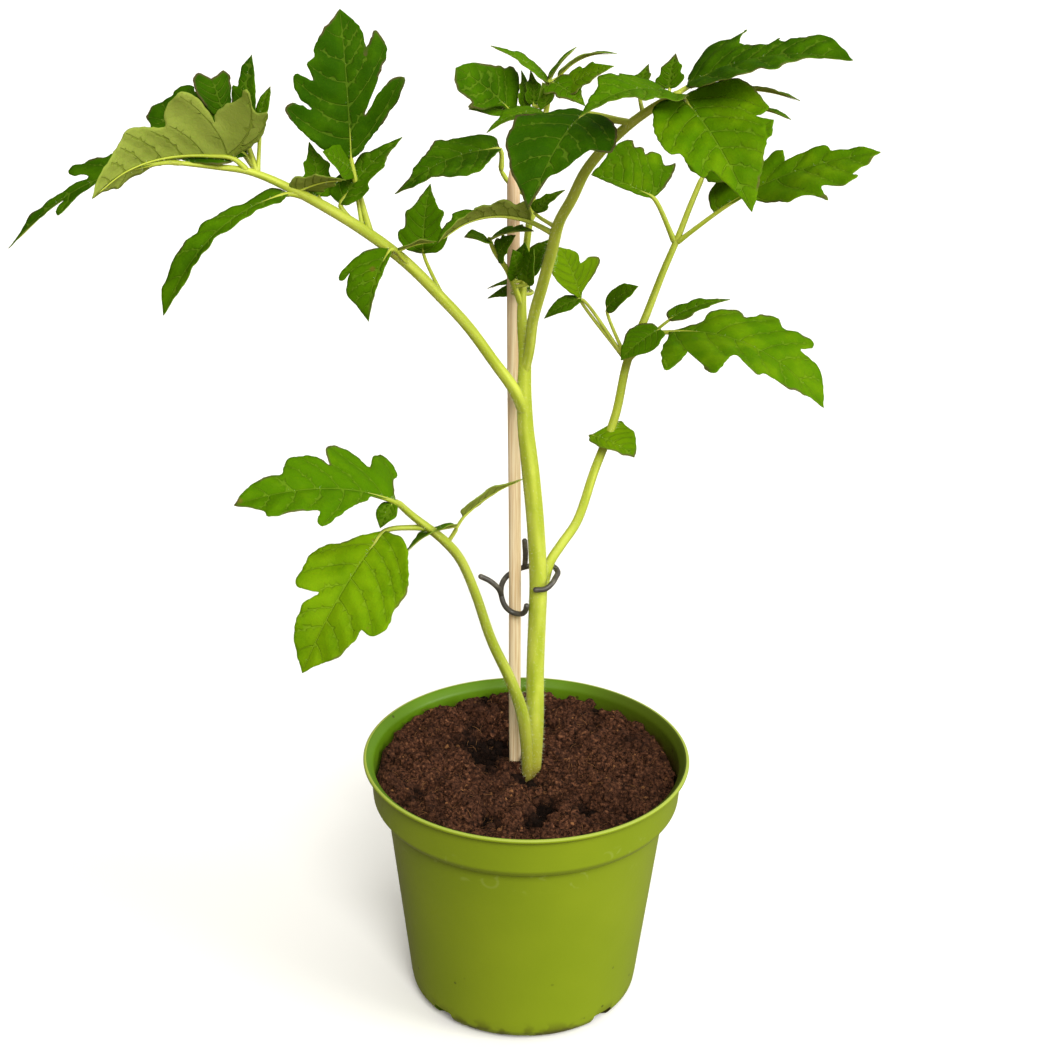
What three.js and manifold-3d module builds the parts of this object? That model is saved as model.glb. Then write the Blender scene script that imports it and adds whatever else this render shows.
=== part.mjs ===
// Young tomato plant in a nursery pot.
//
// Frame, in millimetres: the origin is the centre of the pot's underside, +Z is up, +X is to the right
// and -Y is the plant's front, the side that its best-lit leaves turn to.
//
// Pieces: a thin pot with drain slots, the potting soil with holes for what stands in it, a main stem,
// a support stick, a wire-like plant clip, five compound leaves, a side shoot and the growing tip.
// Each compound leaf is one body: a leaf stalk with leaflets on small stalks of their own, fused.

import * as THREE from "three";
import { mergeVertices } from "three/addons/utils/BufferGeometryUtils.js";
import Module from "manifold-3d";

const wasm = await Module();
wasm.setup();

// ---------- driving dimensions ----------

const POT_HEIGHT = 99;
const RIM_RADIUS = 60;
const WALL = 1.2;
const ROUND_SIDES = 40;
const SOIL_LEVEL = 89;
const GAP = 0.3; // clear space between a piece and what it stands in or lies on
const GRID = 0.002; // corners snap to it

const COLLAR_RADIUS = RIM_RADIUS - 2.6;
const COLLAR_HEIGHT = 17;
const BODY_TOP_RADIUS = 51.4;
const BODY_FOOT_RADIUS = 42.8;
const FOOT_RADIUS = 36.4;
const FOOT_CORNER = 7.5;

const STEM_SIDES = 8;
const STALK_SIDES = 6;
const STALK_STEP = 13; // length of a leaf stalk between two rings of corners
const SMALL_STALK_SIDES = 4;
const STALK_RADIUS = 1;
const SMALL_STALK_RADIUS = 0.7;
const STALK_END_RADIUS = 0.35;
const BLADE_THICKNESS = 0.8;
const USUAL_FOLD = 8; // degrees that each half of a blade rises from its midrib
const USUAL_BOW = 0.06; // height of the midrib's arch, as a fraction of its length
const EDGE_WAVE = 0.06; // height of the edge's waves, as a fraction of the distance from the midrib
const WAVE_TURNS = 9; // radians of wave along a blade
const FRONT = new THREE.Vector3(0, -0.9, 0.42).normalize(); // where an untilted blade faces

// ---------- materials ----------

function finish(colour, roughness) {
  return new THREE.MeshStandardMaterial({ color: colour, roughness, metalness: 0 });
}

const LEAF_GREEN = 0x3f7a1c;
const STEM_GREEN = 0xb5c43c;
const POT_GREEN = 0x8ca028;
const PEAT_BROWN = 0x3c281e;
const CANE_CREAM = 0xe6d5b4;
const CLIP_GREY = 0x45423a;

// ---------- solids ----------

function toSolid(geometry) {
  const bare = geometry.clone();
  bare.deleteAttribute("normal");
  bare.deleteAttribute("uv");
  const merged = mergeVertices(bare, 1e-4);
  return new wasm.Manifold(new wasm.Mesh({
    numProp: 3,
    vertProperties: new Float32Array(merged.attributes.position.array),
    triVerts: new Uint32Array(merged.index.array),
  }));
}

// Corners snap to a fine grid, so that none lie closer together than it. Faces that this flattens go,
// and so do two faces that come to lie back to back.
function toGeometry(solid) {
  const mesh = solid.getMesh();
  const positions = [];
  const places = new Map();
  const snapped = [];
  for (let i = 0; i < mesh.vertProperties.length; i += 3) {
    const corner = [0, 1, 2].map((axis) => Math.round(mesh.vertProperties[i + axis] / GRID) * GRID);
    const key = corner.map((value) => value.toFixed(4)).join(" ");
    if (!places.has(key)) {
      places.set(key, positions.length / 3);
      positions.push(...corner);
    }
    snapped.push(places.get(key));
  }
  const faces = new Map();
  for (let i = 0; i < mesh.triVerts.length; i += 3) {
    const face = [0, 1, 2].map((corner) => snapped[mesh.triVerts[i + corner]]);
    const key = [...face].sort((a, b) => a - b).join(" ");
    if (faces.has(key)) {
      faces.delete(key);
    } else if (new Set(face).size === 3) {
      faces.set(key, face);
    }
  }
  const geometry = indexedGeometry(positions, [...faces.values()].flat());
  geometry.computeVertexNormals();
  return geometry;
}

// Keeps the main body of a cut solid, without the scraps that a cut leaves.
function mainBody(solid) {
  return solid.decompose().reduce((kept, piece) => (piece.volume() > kept.volume() ? piece : kept));
}

function node(name, solid, material) {
  const mesh = new THREE.Mesh(toGeometry(solid), material);
  mesh.name = name;
  return mesh;
}

// ---------- tapered tubes: stems, stalks, stick and clip ----------

// The radius at a fraction of the length, from values spread evenly from the base to the tip.
function radiusAt(radii, fraction) {
  const place = fraction * (radii.length - 1);
  const lower = Math.min(Math.floor(place), radii.length - 2);
  return THREE.MathUtils.lerp(radii[lower], radii[lower + 1], place - lower);
}

function curveThrough(points) {
  return new THREE.CatmullRomCurve3(points.map((point) => new THREE.Vector3(...point)), false,
    "centripetal");
}

// A closed round tube along a curve, thinner or thicker along its length, and fattened by `extra`.
function taperedTube(points, radii, sides, steps, extra = 0) {
  const curve = curveThrough(points);
  const frames = curve.computeFrenetFrames(steps, false);
  const positions = [];
  for (let step = 0; step <= steps; step += 1) {
    const beyondEnd = step === 0 ? -extra : step === steps ? extra : 0;
    const centre = curve.getPointAt(step / steps).addScaledVector(frames.tangents[step], beyondEnd);
    const radius = radiusAt(radii, step / steps) + extra;
    for (let side = 0; side < sides; side += 1) {
      const angle = (2 * Math.PI * side) / sides;
      const corner = centre.clone()
        .addScaledVector(frames.normals[step], radius * Math.cos(angle))
        .addScaledVector(frames.binormals[step], radius * Math.sin(angle));
      positions.push(corner.x, corner.y, corner.z);
    }
  }
  const index = [];
  for (let step = 0; step < steps; step += 1) {
    for (let side = 0; side < sides; side += 1) {
      const a = step * sides + side;
      const b = step * sides + ((side + 1) % sides);
      index.push(a, b, b + sides, a, b + sides, a + sides);
    }
  }
  const last = steps * sides;
  for (let side = 1; side < sides - 1; side += 1) {
    index.push(0, side + 1, side);
    index.push(last, last + side, last + side + 1);
  }
  return toSolid(indexedGeometry(positions, index));
}

function indexedGeometry(positions, index) {
  const geometry = new THREE.BufferGeometry();
  geometry.setAttribute("position", new THREE.Float32BufferAttribute(positions, 3));
  geometry.setIndex(index);
  return geometry;
}

// ---------- leaflet outlines ----------

// One side of a blade from base to tip: [along, across], as fractions of its length and half width.
// A lobe rises slowly towards the tip and falls back steeply at its far side.
const OUTLINES = {
  broad: [[0, 0], [-0.04, 0.4], [0.06, 0.78], [0.22, 0.95], [0.42, 0.96], [0.56, 1], [0.6, 0.88],
    [0.58, 0.58], [0.7, 0.6], [0.84, 0.45], [1, 0]],
  narrow: [[0, 0], [0.04, 0.5], [0.14, 0.86], [0.18, 0.56], [0.34, 0.96], [0.42, 0.98], [0.45, 0.7],
    [0.66, 0.84], [0.7, 0.58], [0.88, 0.36], [1, 0]],
  toothed: [[0, 0], [0.02, 0.6], [0.28, 1], [0.36, 0.74], [0.58, 0.8], [0.64, 0.54], [1, 0]],
  oval: [[0, 0], [0.08, 0.7], [0.4, 1], [0.7, 0.7], [1, 0]],
  deep: [[0, 0], [0.05, 0.38], [0.16, 0.7], [0.35, 1], [0.39, 0.9], [0.34, 0.58], [0.43, 0.77],
    [0.54, 0.86], [0.58, 0.78], [0.53, 0.54], [0.64, 0.61], [0.69, 0.49], [0.76, 0.47],
    [0.87, 0.29], [1, 0]],
  cut: [[0, 0], [0.02, 0.14], [0.12, 0.36], [0.27, 0.68], [0.38, 0.92], [0.51, 1], [0.49, 0.72],
    [0.39, 0.48], [0.28, 0.28], [0.42, 0.44], [0.58, 0.64], [0.72, 0.76], [0.84, 0.58],
    [0.76, 0.44], [0.68, 0.36], [0.8, 0.38], [0.89, 0.28], [1, 0]],
  endHigh: [[0, 0], [-0.03, 0.42], [-0.08, 0.6], [-0.07, 0.9], [-0.02, 1], [0.05, 0.92],
    [0.13, 0.6], [0.18, 0.78], [0.25, 0.92], [0.35, 0.95], [0.4, 0.78], [0.41, 0.49], [0.47, 0.6],
    [0.57, 0.65], [0.67, 0.58], [0.71, 0.34], [0.83, 0.32], [0.94, 0.17], [1, 0]],
  endLow: [[0, 0], [0.12, 0.05], [0.18, 0.1], [0.27, 0.32], [0.42, 0.6], [0.55, 0.9], [0.61, 1],
    [0.62, 0.84], [0.59, 0.63], [0.66, 0.6], [0.77, 0.6], [0.88, 0.59], [0.89, 0.38], [0.96, 0.13],
    [1, 0]],
  hangingInner: [[0, 0], [0, 0.36], [0.13, 0.73], [0.2, 0.86], [0.32, 1], [0.44, 0.97], [0.52, 1],
    [0.59, 0.98], [0.64, 0.8], [0.63, 0.64], [0.7, 0.62], [0.81, 0.5], [0.92, 0.22], [1, 0]],
  hangingOuter: [[0, 0], [0.08, 0.26], [0.2, 0.6], [0.28, 0.9], [0.35, 1], [0.5, 0.96],
    [0.57, 0.88], [0.57, 0.6], [0.55, 0.4], [0.64, 0.55], [0.72, 0.58], [0.84, 0.44], [0.93, 0.24],
    [1, 0]],
  archedHigh: [[0, 0], [-0.08, 0.2], [-0.15, 0.42], [-0.19, 0.9], [-0.14, 0.8], [-0.1, 1.15],
    [-0.06, 0.92], [0.01, 0.8], [0.06, 0.6], [0.07, 0.5], [0.12, 0.76], [0.18, 0.92], [0.27, 1],
    [0.34, 0.84], [0.38, 0.68], [0.38, 0.5], [0.51, 0.56], [0.65, 0.58], [0.69, 0.46], [0.8, 0.31],
    [0.93, 0.16], [1, 0]],
  archedLow: [[0, 0], [0.18, 0.15], [0.39, 0.55], [0.6, 0.9], [0.76, 1], [0.87, 0.5], [1, 0]],
  drawnHigh: [[0, 0], [0.02, 1], [0.08, 0.9], [0.18, 0.63], [0.31, 0.67], [0.42, 0.87],
    [0.52, 0.83], [0.6, 0.8], [0.71, 0.91], [0.79, 0.8], [0.9, 0.6], [1, 0]],
  drawnLow: [[0, 0], [0.1, 0.84], [0.22, 0.7], [0.35, 0.68], [0.44, 0.82], [0.53, 0.4], [0.6, 0.72],
    [0.71, 0.64], [0.81, 0.86], [0.9, 0.5], [1, 0]],
  wideHigh: [[0, 0], [0.1, 0.12], [0.15, 0.24], [0.16, 0.46], [0.22, 0.6], [0.32, 0.75],
    [0.35, 0.65], [0.44, 0.92], [0.52, 1], [0.57, 0.82], [0.66, 0.84], [0.78, 0.92], [0.78, 0.8],
    [0.73, 0.54], [0.8, 0.56], [0.87, 0.53], [0.92, 0.38], [1, 0]],
  wideLow: [[0, 0], [0.02, 0.2], [0.03, 0.5], [0.08, 0.82], [0.13, 1], [0.17, 0.82], [0.18, 0.6],
    [0.16, 0.34], [0.17, 0.24], [0.22, 0.44], [0.28, 0.7], [0.33, 0.94], [0.38, 1], [0.41, 0.82],
    [0.42, 0.47], [0.5, 0.54], [0.59, 0.6], [0.63, 0.46], [0.73, 0.35], [0.85, 0.19], [1, 0]],
  droopingOuter: [[0, 0], [0.04, 0.6], [0.1, 0.84], [0.19, 0.93], [0.3, 0.97], [0.39, 0.98],
    [0.43, 0.84], [0.43, 0.71], [0.51, 0.74], [0.6, 0.69], [0.66, 0.62], [0.76, 0.45], [0.84, 0.32],
    [0.92, 0.18], [1, 0]],
  droopingInner: [[0, 0], [0.02, 0.58], [0.12, 0.78], [0.22, 0.9], [0.34, 1], [0.49, 0.94],
    [0.5, 0.78], [0.57, 0.74], [0.66, 0.68], [0.7, 0.56], [0.68, 0.4], [0.76, 0.27], [0.89, 0.1],
    [1, 0]],
  frontInner: [[0, 0], [0.06, 0.5], [0.18, 0.79], [0.3, 0.95], [0.38, 1], [0.45, 0.98],
    [0.48, 0.62], [0.56, 0.52], [0.69, 0.36], [0.76, 0.16], [0.89, 0.06], [1, 0]],
  frontOuter: [[0, 0], [0.06, 0.28], [0.13, 0.45], [0.27, 0.71], [0.39, 1], [0.5, 1], [0.6, 0.98],
    [0.68, 0.96], [0.79, 0.71], [0.91, 0.32], [1, 0]],
  reachingHigh: [[0, 0], [-0.02, 0.6], [0.06, 0.95], [0.2, 0.9], [0.34, 0.88], [0.37, 1],
    [0.46, 0.92], [0.48, 0.53], [0.58, 0.49], [0.71, 0.47], [0.75, 0.26], [0.82, 0.24],
    [0.89, 0.28], [1, 0]],
  reachingLow: [[0, 0], [0.15, 0.05], [0.25, 0.2], [0.33, 0.5], [0.43, 0.82], [0.52, 1.05],
    [0.64, 1.03], [0.73, 1.24], [0.7, 0.86], [0.8, 0.9], [0.89, 0.7], [0.86, 0.61], [0.94, 0.34],
    [0.97, 0.08], [1, 0]],
  topHigh: [[0, 0], [-0.06, 0.5], [-0.05, 1.02], [0.05, 0.98], [0.15, 0.91], [0.24, 0.88],
    [0.25, 1.15], [0.28, 0.6], [0.4, 0.4], [0.5, 0.35], [0.54, 0.48], [0.56, 0.34], [0.68, 0.38],
    [0.73, 0.46], [0.81, 0.45], [0.9, 0.31], [1, 0]],
  topLow: [[0, 0], [0.1, 0.6], [0.25, 0.95], [0.4, 1], [0.5, 1], [0.54, 0.8], [0.64, 0.8],
    [0.69, 0.42], [0.78, 0.22], [0.82, 0.12], [0.92, 0.1], [1, 0]],
  notched: [[0, 0], [-0.04, 0.3], [-0.02, 0.65], [0.06, 0.95], [0.15, 0.8], [0.29, 0.95],
    [0.4, 0.92], [0.46, 0.78], [0.53, 0.87], [0.66, 0.86], [0.81, 1.04], [0.93, 0.98], [0.97, 0.7],
    [0.98, 0.3], [1, 0]],
  blunt: [[0, 0], [0.2, 0.5], [0.41, 0.82], [0.64, 1], [0.85, 0.72], [0.97, 0.2], [1, 0]],
  bitten: [[0, 0], [0.18, 0.2], [0.25, 0.5], [0.39, 0.88], [0.55, 1], [0.64, 0.62], [0.6, 0.37],
    [0.8, 0.44], [0.92, 0.18], [1, 0]],
  hooked: [[0, 0], [0.13, 0.15], [0.25, 0.38], [0.28, 0.8], [0.41, 1], [0.57, 0.85], [0.74, 0.74],
    [0.93, 0.36], [1, 0]],
  ridged: [[0, 0], [0.1, 0.5], [0.3, 0.75], [0.5, 0.85], [0.66, 0.84], [0.74, 0.88], [0.82, 1],
    [0.9, 0.94], [0.93, 0.82], [0.92, 0.62], [0.99, 0.3], [1, 0]],
  twinLeft: [[0, 0], [0.2, 0.3], [0.5, 0.75], [0.82, 1], [1.05, 0.9], [1.18, 0.55], [1.08, 0.25],
    [1, 0]],
  twinRight: [[0, 0], [0.25, 0.35], [0.55, 0.7], [0.78, 0.95], [0.98, 1], [1.12, 0.8], [1.05, 0.4],
    [1, 0]],
  forkedHigh: [[0, 0], [0.08, 0.6], [0.2, 0.9], [0.3, 0.9], [0.41, 1], [0.48, 1], [0.51, 0.86],
    [0.49, 0.56], [0.43, 0.4], [0.42, 0.26], [0.53, 0.22], [0.73, 0.24], [0.82, 0.24], [0.88, 0.1],
    [1, 0]],
  forkedLow: [[0, 0], [0.15, 0.1], [0.38, 0.1], [0.46, 0.35], [0.54, 0.66], [0.61, 0.95],
    [0.67, 1.05], [0.67, 0.8], [0.63, 0.4], [0.6, 0.14], [0.67, 0.1], [0.74, 0.2], [0.8, 0.17],
    [0.87, 0.08], [1, 0]],
  slopingHigh: [[0, 0], [-0.03, 0.5], [0.05, 0.82], [0.2, 0.86], [0.31, 0.95], [0.4, 1.1],
    [0.48, 0.98], [0.57, 0.68], [0.66, 0.5], [0.74, 0.38], [0.84, 0.14], [1, 0]],
  slopingLow: [[0, 0], [0.07, 0.44], [0.21, 0.73], [0.35, 0.98], [0.49, 1], [0.61, 0.86],
    [0.7, 0.52], [0.78, 0.42], [0.88, 0.28], [1, 0]],
  fanHigh: [[0, 0], [0.05, 0.4], [0.1, 0.8], [0.18, 1.08], [0.28, 1.08], [0.41, 0.88], [0.5, 0.72],
    [0.6, 0.64], [0.7, 0.56], [0.86, 0.35], [0.96, 0.12], [1, 0]],
  fanLow: [[0, 0], [0.15, 0.06], [0.27, 0.12], [0.42, 0.5], [0.6, 0.85], [0.76, 1.03], [0.73, 0.78],
    [0.8, 0.74], [0.9, 0.64], [0.97, 0.4], [1, 0]],
  scooped: [[0, 0], [0.05, 0.4], [0.19, 0.7], [0.4, 0.9], [0.57, 1], [0.56, 0.85], [0.45, 0.72],
    [0.73, 0.7], [0.82, 0.45], [1, 0]],
};

const MIDRIB_STATIONS = [0, 0.16, 0.36, 0.58, 0.8, 1];
const SMALL_STATIONS = [0, 0.5, 1];
const SMALL_LENGTH = 25;
const MIDRIB_SAG = 0.01; // keeps the midrib's corners off one straight line, so that none is left out

// A blade's own axes: along its midrib, the way its upper face looks, and out to its left side.
function bladeAxes(leaflet) {
  const base = new THREE.Vector3(...leaflet.base);
  const along = new THREE.Vector3(...leaflet.tip).sub(base);
  const length = along.length();
  along.normalize();
  const front = FRONT.clone().addScaledVector(along, -FRONT.dot(along)).normalize();
  const upward = along.clone().cross(front);
  if (upward.z < 0) {
    upward.negate();
  }
  const tilt = THREE.MathUtils.degToRad(leaflet.tilt);
  const face = front.multiplyScalar(Math.cos(tilt)).addScaledVector(upward, Math.sin(tilt));
  return { base, along, face, left: face.clone().cross(along), length };
}

function isSmall(axes) {
  return axes.length < SMALL_LENGTH;
}

// The middle surface of a blade: arched along the midrib, folded up at both sides, waved at the edge.
function bladePoint(axes, leaflet, u, v) {
  const fold = Math.tan(THREE.MathUtils.degToRad(leaflet.fold ?? USUAL_FOLD));
  const wave = EDGE_WAVE * Math.abs(v) * Math.sin(WAVE_TURNS * u + (v > 0 ? 1 : 3));
  const arch = (leaflet.bow ?? USUAL_BOW) * axes.length * 4 * u * (1 - u);
  return axes.base.clone()
    .addScaledVector(axes.along, u * axes.length)
    .addScaledVector(axes.left, v)
    .addScaledVector(axes.face, arch + fold * Math.abs(v) + wave);
}

// Triangles of one side, between the midrib and the edge, as places in a list that holds the midrib's
// corners from base to tip and then the edge's from tip to base.
function sideTriangles(stations, edge) {
  const midrib = stations.map((u) => new THREE.Vector2(u, -MIDRIB_SAG * u * (1 - u)));
  const contour = [...midrib, ...edge.map(([u, v]) => new THREE.Vector2(u, Math.abs(v)))];
  return THREE.ShapeUtils.triangulateShape(contour, []).map(([a, b, c]) => {
    const first = contour[b].clone().sub(contour[a]);
    const second = contour[c].clone().sub(contour[a]);
    return first.cross(second) > 0 ? [a, b, c] : [a, c, b];
  });
}

// The corners of one side's edge from the tip back to the base, as fractions of the blade's length.
function sideEdge(outline, acrossToLength) {
  return outline.slice(1, -1).reverse().map(([u, across]) => [u, across * acrossToLength]);
}

// A thin closed blade, cut in triangles alike on both faces.
function blade(leaflet) {
  const axes = bladeAxes(leaflet);
  const stations = isSmall(axes) ? SMALL_STATIONS : MIDRIB_STATIONS;
  const [leftForm, rightForm] = Array.isArray(leaflet.shape) ? leaflet.shape : [leaflet.shape,
    leaflet.shape];
  const [leftHalf, rightHalf] = leaflet.half;
  const left = sideEdge(OUTLINES[leftForm], leftHalf / axes.length);
  const right = sideEdge(OUTLINES[rightForm], -rightHalf / axes.length);
  const corners = [...stations.map((u) => [u, 0]), ...left, ...right];

  const positions = [];
  for (const lift of [BLADE_THICKNESS / 2, -BLADE_THICKNESS / 2]) {
    for (const [u, v] of corners) {
      const point = bladePoint(axes, leaflet, u, v * axes.length).addScaledVector(axes.face, lift);
      positions.push(point.x, point.y, point.z);
    }
  }
  const midribCount = stations.length;
  const pastLeft = (corner) => (corner < midribCount ? corner : corner + left.length);
  const upper = [
    ...sideTriangles(stations, left),
    ...sideTriangles(stations, right).map(([a, b, c]) => [pastLeft(a), pastLeft(c), pastLeft(b)]),
  ];
  const under = corners.length;
  const index = upper.flatMap(([a, b, c]) => [a, b, c, under + a, under + c, under + b]);
  const leftRim = left.map((_, i) => midribCount + i);
  const rightRim = right.map((_, i) => midribCount + left.length + i).reverse();
  const rim = [0, ...rightRim, midribCount - 1, ...leftRim];
  rim.forEach((a, i) => {
    const b = rim[(i + 1) % rim.length];
    index.push(a, a + under, b + under, a, b + under, b);
  });
  return toSolid(indexedGeometry(positions, index));
}

// ---------- compound leaves ----------

const STALK_INTO_BLADE = 0.2; // how far a leaflet's stalk runs under its midrib
const LAST_ROOT = 0.97; // no leaflet's stalk leaves the leaf stalk beyond this

// The small stalk of a leaflet: from the leaf stalk to its blade, and on under the midrib.
function leafletStalk(leaflet, leafCurve) {
  const axes = bladeAxes(leaflet);
  const start = leafCurve.getPointAt(Math.min(leaflet.from, LAST_ROOT)).toArray();
  const end = bladePoint(axes, leaflet, STALK_INTO_BLADE, 0).toArray();
  const radius = isSmall(axes) ? SMALL_STALK_RADIUS : STALK_RADIUS;
  const points = [start, ...(leaflet.via ?? []), leaflet.base, end];
  const sides = isSmall(axes) ? SMALL_STALK_SIDES : STALK_SIDES;
  return taperedTube(points, [radius, radius, STALK_END_RADIUS], sides, points.length - 1);
}

function compoundLeaf(leaf) {
  const curve = curveThrough(leaf.stalk);
  const steps = Math.ceil(curve.getLength() / STALK_STEP);
  const parts = [taperedTube(leaf.stalk, leaf.radii, STALK_SIDES, steps)];
  for (const leaflet of leaf.leaflets) {
    parts.push(blade(leaflet), leafletStalk(leaflet, curve));
  }
  return wasm.Manifold.union(parts);
}

// ---------- the plant ----------

// In a leaflet, `from` is where its small stalk leaves the leaf stalk, `half` holds the widths of the
// blade to the left and right of its midrib, and `tilt` turns its upper face from the front to the sky.

const MAIN_STEM = {
  points: [[2, 8, 62], [2.4, 8, 84], [3, 8, 105], [2.8, 8, 130], [3.2, 8, 152], [3.4, 8, 164],
    [2.8, 8, 178], [1.5, 8, 195], [-0.6, 7, 215], [-2, 7, 227], [-2.6, 6, 240], [-2.6, 6, 253],
    [-3.8, 5, 270], [-3, 5, 288], [-1.4, 6, 304], [1.5, 5, 330]],
  radii: [2.6, 3.1, 3.3, 3.3, 3.3, 3.2, 3.2, 2.8, 2.1, 1.3, 1.2, 1.1],
  steps: 24,
};

const LEAF_LOWER_LEFT = {
  name: "leaf_lower_left",
  stalk: [[-1, 5, 80], [-1, 4, 98], [-2, 3, 114], [-6, -1, 130], [-13, -6, 149], [-19, -13, 172],
    [-24, -18, 187], [-29, -23, 196], [-40, -32, 210], [-45, -36, 217]],
  radii: [2.4, 2.5, 2, 1.8, 1.7, 1.1],
  leaflets: [
    { shape: ["endLow", "endHigh"], from: 1, base: [-45, -37, 217], tip: [-96, -64, 227],
      half: [18, 20], tilt: 42, bow: 0.12 },
    { shape: "oval", from: 0.98, base: [-46, -38, 216], tip: [-50, -43, 209], half: [4, 4], tilt: 30 },
    { shape: ["hangingInner", "hangingOuter"], from: 0.88, base: [-49, -34, 205], tip: [-75, -66, 167],
      half: [20, 16], tilt: 15, bow: 0.12 },
    { shape: "toothed", from: 0.8, base: [-23, -22, 205], tip: [-2, -16, 217], half: [8, 8], tilt: 100 },
    { shape: "toothed", from: 0.8, base: [-25, -23, 202], tip: [-43, -31, 194], half: [7, 7], tilt: 80,
      bow: 0.12 },
  ],
};

const LEAF_RIGHT = {
  name: "leaf_right",
  stalk: [[5, 11, 160], [6, 12, 166], [7.6, 13.4, 171.5], [11.6, 15.6, 177.5], [17, 19, 185], [23, 24, 203],
    [30, 29, 222], [34, 33, 242], [40, 37, 257], [46, 41, 273], [51, 44, 285], [55, 46, 296],
    [59, 48, 306]],
  radii: [2, 1.8, 1.7, 1.6, 1.3, 1],
  leaflets: [
    { shape: ["hooked", "oval"], from: 0.37, base: [21, 26, 216], tip: [37, 20, 210], half: [11, 5],
      tilt: 40, bow: 0.1 },
    { shape: ["wideHigh", "wideLow"], from: 0.56, via: [[40, 32, 252]], base: [48, 28, 255],
      tip: [102, 10, 234], half: [20, 28], tilt: 47, bow: 0.17 },
    { shape: "toothed", from: 0.58, base: [48, 32, 258], tip: [70, 40, 263], half: [5, 5], tilt: 55 },
    { shape: "oval", from: 0.56, base: [45, 28, 256], tip: [31, 20, 247], half: [7, 7], tilt: 40 },
    { shape: ["blunt", "bitten"], from: 0.56, base: [17, 40, 262], tip: [9, 45, 280], half: [9, 12],
      tilt: 35 },
    { shape: "oval", from: 0.56, base: [17, 39, 263], tip: [4, 34, 257], half: [4, 4], tilt: 45 },
    { shape: "oval", from: 0.56, base: [26, 37, 259], tip: [36, 33, 269], half: [5, 5], tilt: 45 },
    { shape: ["oval", "notched"], from: 0.84, base: [42, 47, 298], tip: [20, 60, 302], half: [3, 19],
      tilt: 35 },
    { shape: ["reachingHigh", "reachingLow"], from: 0.84, base: [63, 42, 294], tip: [118, 28, 321],
      half: [15, 20], tilt: 50, bow: 0.075 },
    { shape: "broad", from: 1, base: [59, 48, 306], tip: [84, 60, 323], half: [15, 15], tilt: 45 },
  ],
};

const LEAF_UPPER_LEFT = {
  name: "leaf_upper_left",
  stalk: [[-2, 5, 232], [-6, 3, 242], [-13, 1, 253], [-22, -2, 267], [-31, -4, 278], [-43, -8, 292],
    [-57, -11, 304], [-74, -13, 315], [-92, -15, 324], [-104, -16, 326], [-119, -18, 328]],
  radii: [2.4, 2, 1.9, 2, 1.8, 1.2, 0.7],
  leaflets: [
    { shape: ["forkedLow", "forkedHigh"], from: 1, base: [-119, -18, 328], tip: [-169, -34, 303],
      half: [8, 10], tilt: 40, bow: 0.13 },
    { shape: ["archedHigh", "archedLow"], from: 0.84, base: [-98, -16, 329], tip: [-140, -40, 322],
      half: [23, 5], tilt: 128, bow: 0.2 },
    { shape: ["oval", "ridged"], from: 0.82, base: [-94, -10, 328], tip: [-129, 6, 336], half: [14, 17],
      tilt: 35 },
    { shape: ["broad", "oval"], from: 0.82, base: [-95, -6, 334], tip: [-93, 4, 358], half: [5, 4],
      tilt: 20 },
    { shape: "oval", from: 0.82, base: [-90, -6, 337], tip: [-87, 2, 348], half: [3, 3], tilt: 40 },
    { shape: ["twinLeft", "twinRight"], from: 0.82, base: [-102, 2, 334], tip: [-107, 7, 349],
      half: [7, 6], tilt: 25 },
    { shape: ["drawnLow", "drawnHigh"], from: 0.7, base: [-80, -15, 317], tip: [-118, -48, 286],
      half: [5, 7], tilt: 40, bow: 0.16 },
    { shape: "toothed", from: 0.7, base: [-78, -13, 317], tip: [-61, -22, 324], half: [7, 7], tilt: 105 },
    { shape: "toothed", from: 0.66, base: [-71, -8, 314], tip: [-75, 4, 329], half: [6, 6], tilt: 35 },
    { shape: "oval", from: 0.58, base: [-60, -6, 322], tip: [-69, -14, 331], half: [6, 6], tilt: 40 },
    { shape: ["deep", "cut"], from: 0.56, base: [-60.5, -5, 326], tip: [-64.5, 10, 372], half: [21, 18],
      tilt: 12, fold: 14 },
    { shape: "toothed", from: 0.6, base: [-64, -10, 312], tip: [-44, 4, 328], half: [8, 8], tilt: 40 },
    { shape: "toothed", from: 0.34, base: [-37, -3, 293], tip: [-35, 8, 314], half: [9, 9], tilt: 22 },
    { shape: ["oval", "scooped"], from: 0.45, base: [-47, -13, 298], tip: [-54, -26, 277], half: [2, 13],
      tilt: 30, bow: 0.14 },
    { shape: "oval", from: 0.44, base: [-45, -12, 297], tip: [-32, -8, 299], half: [5, 5], tilt: 86 },
  ],
};

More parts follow.
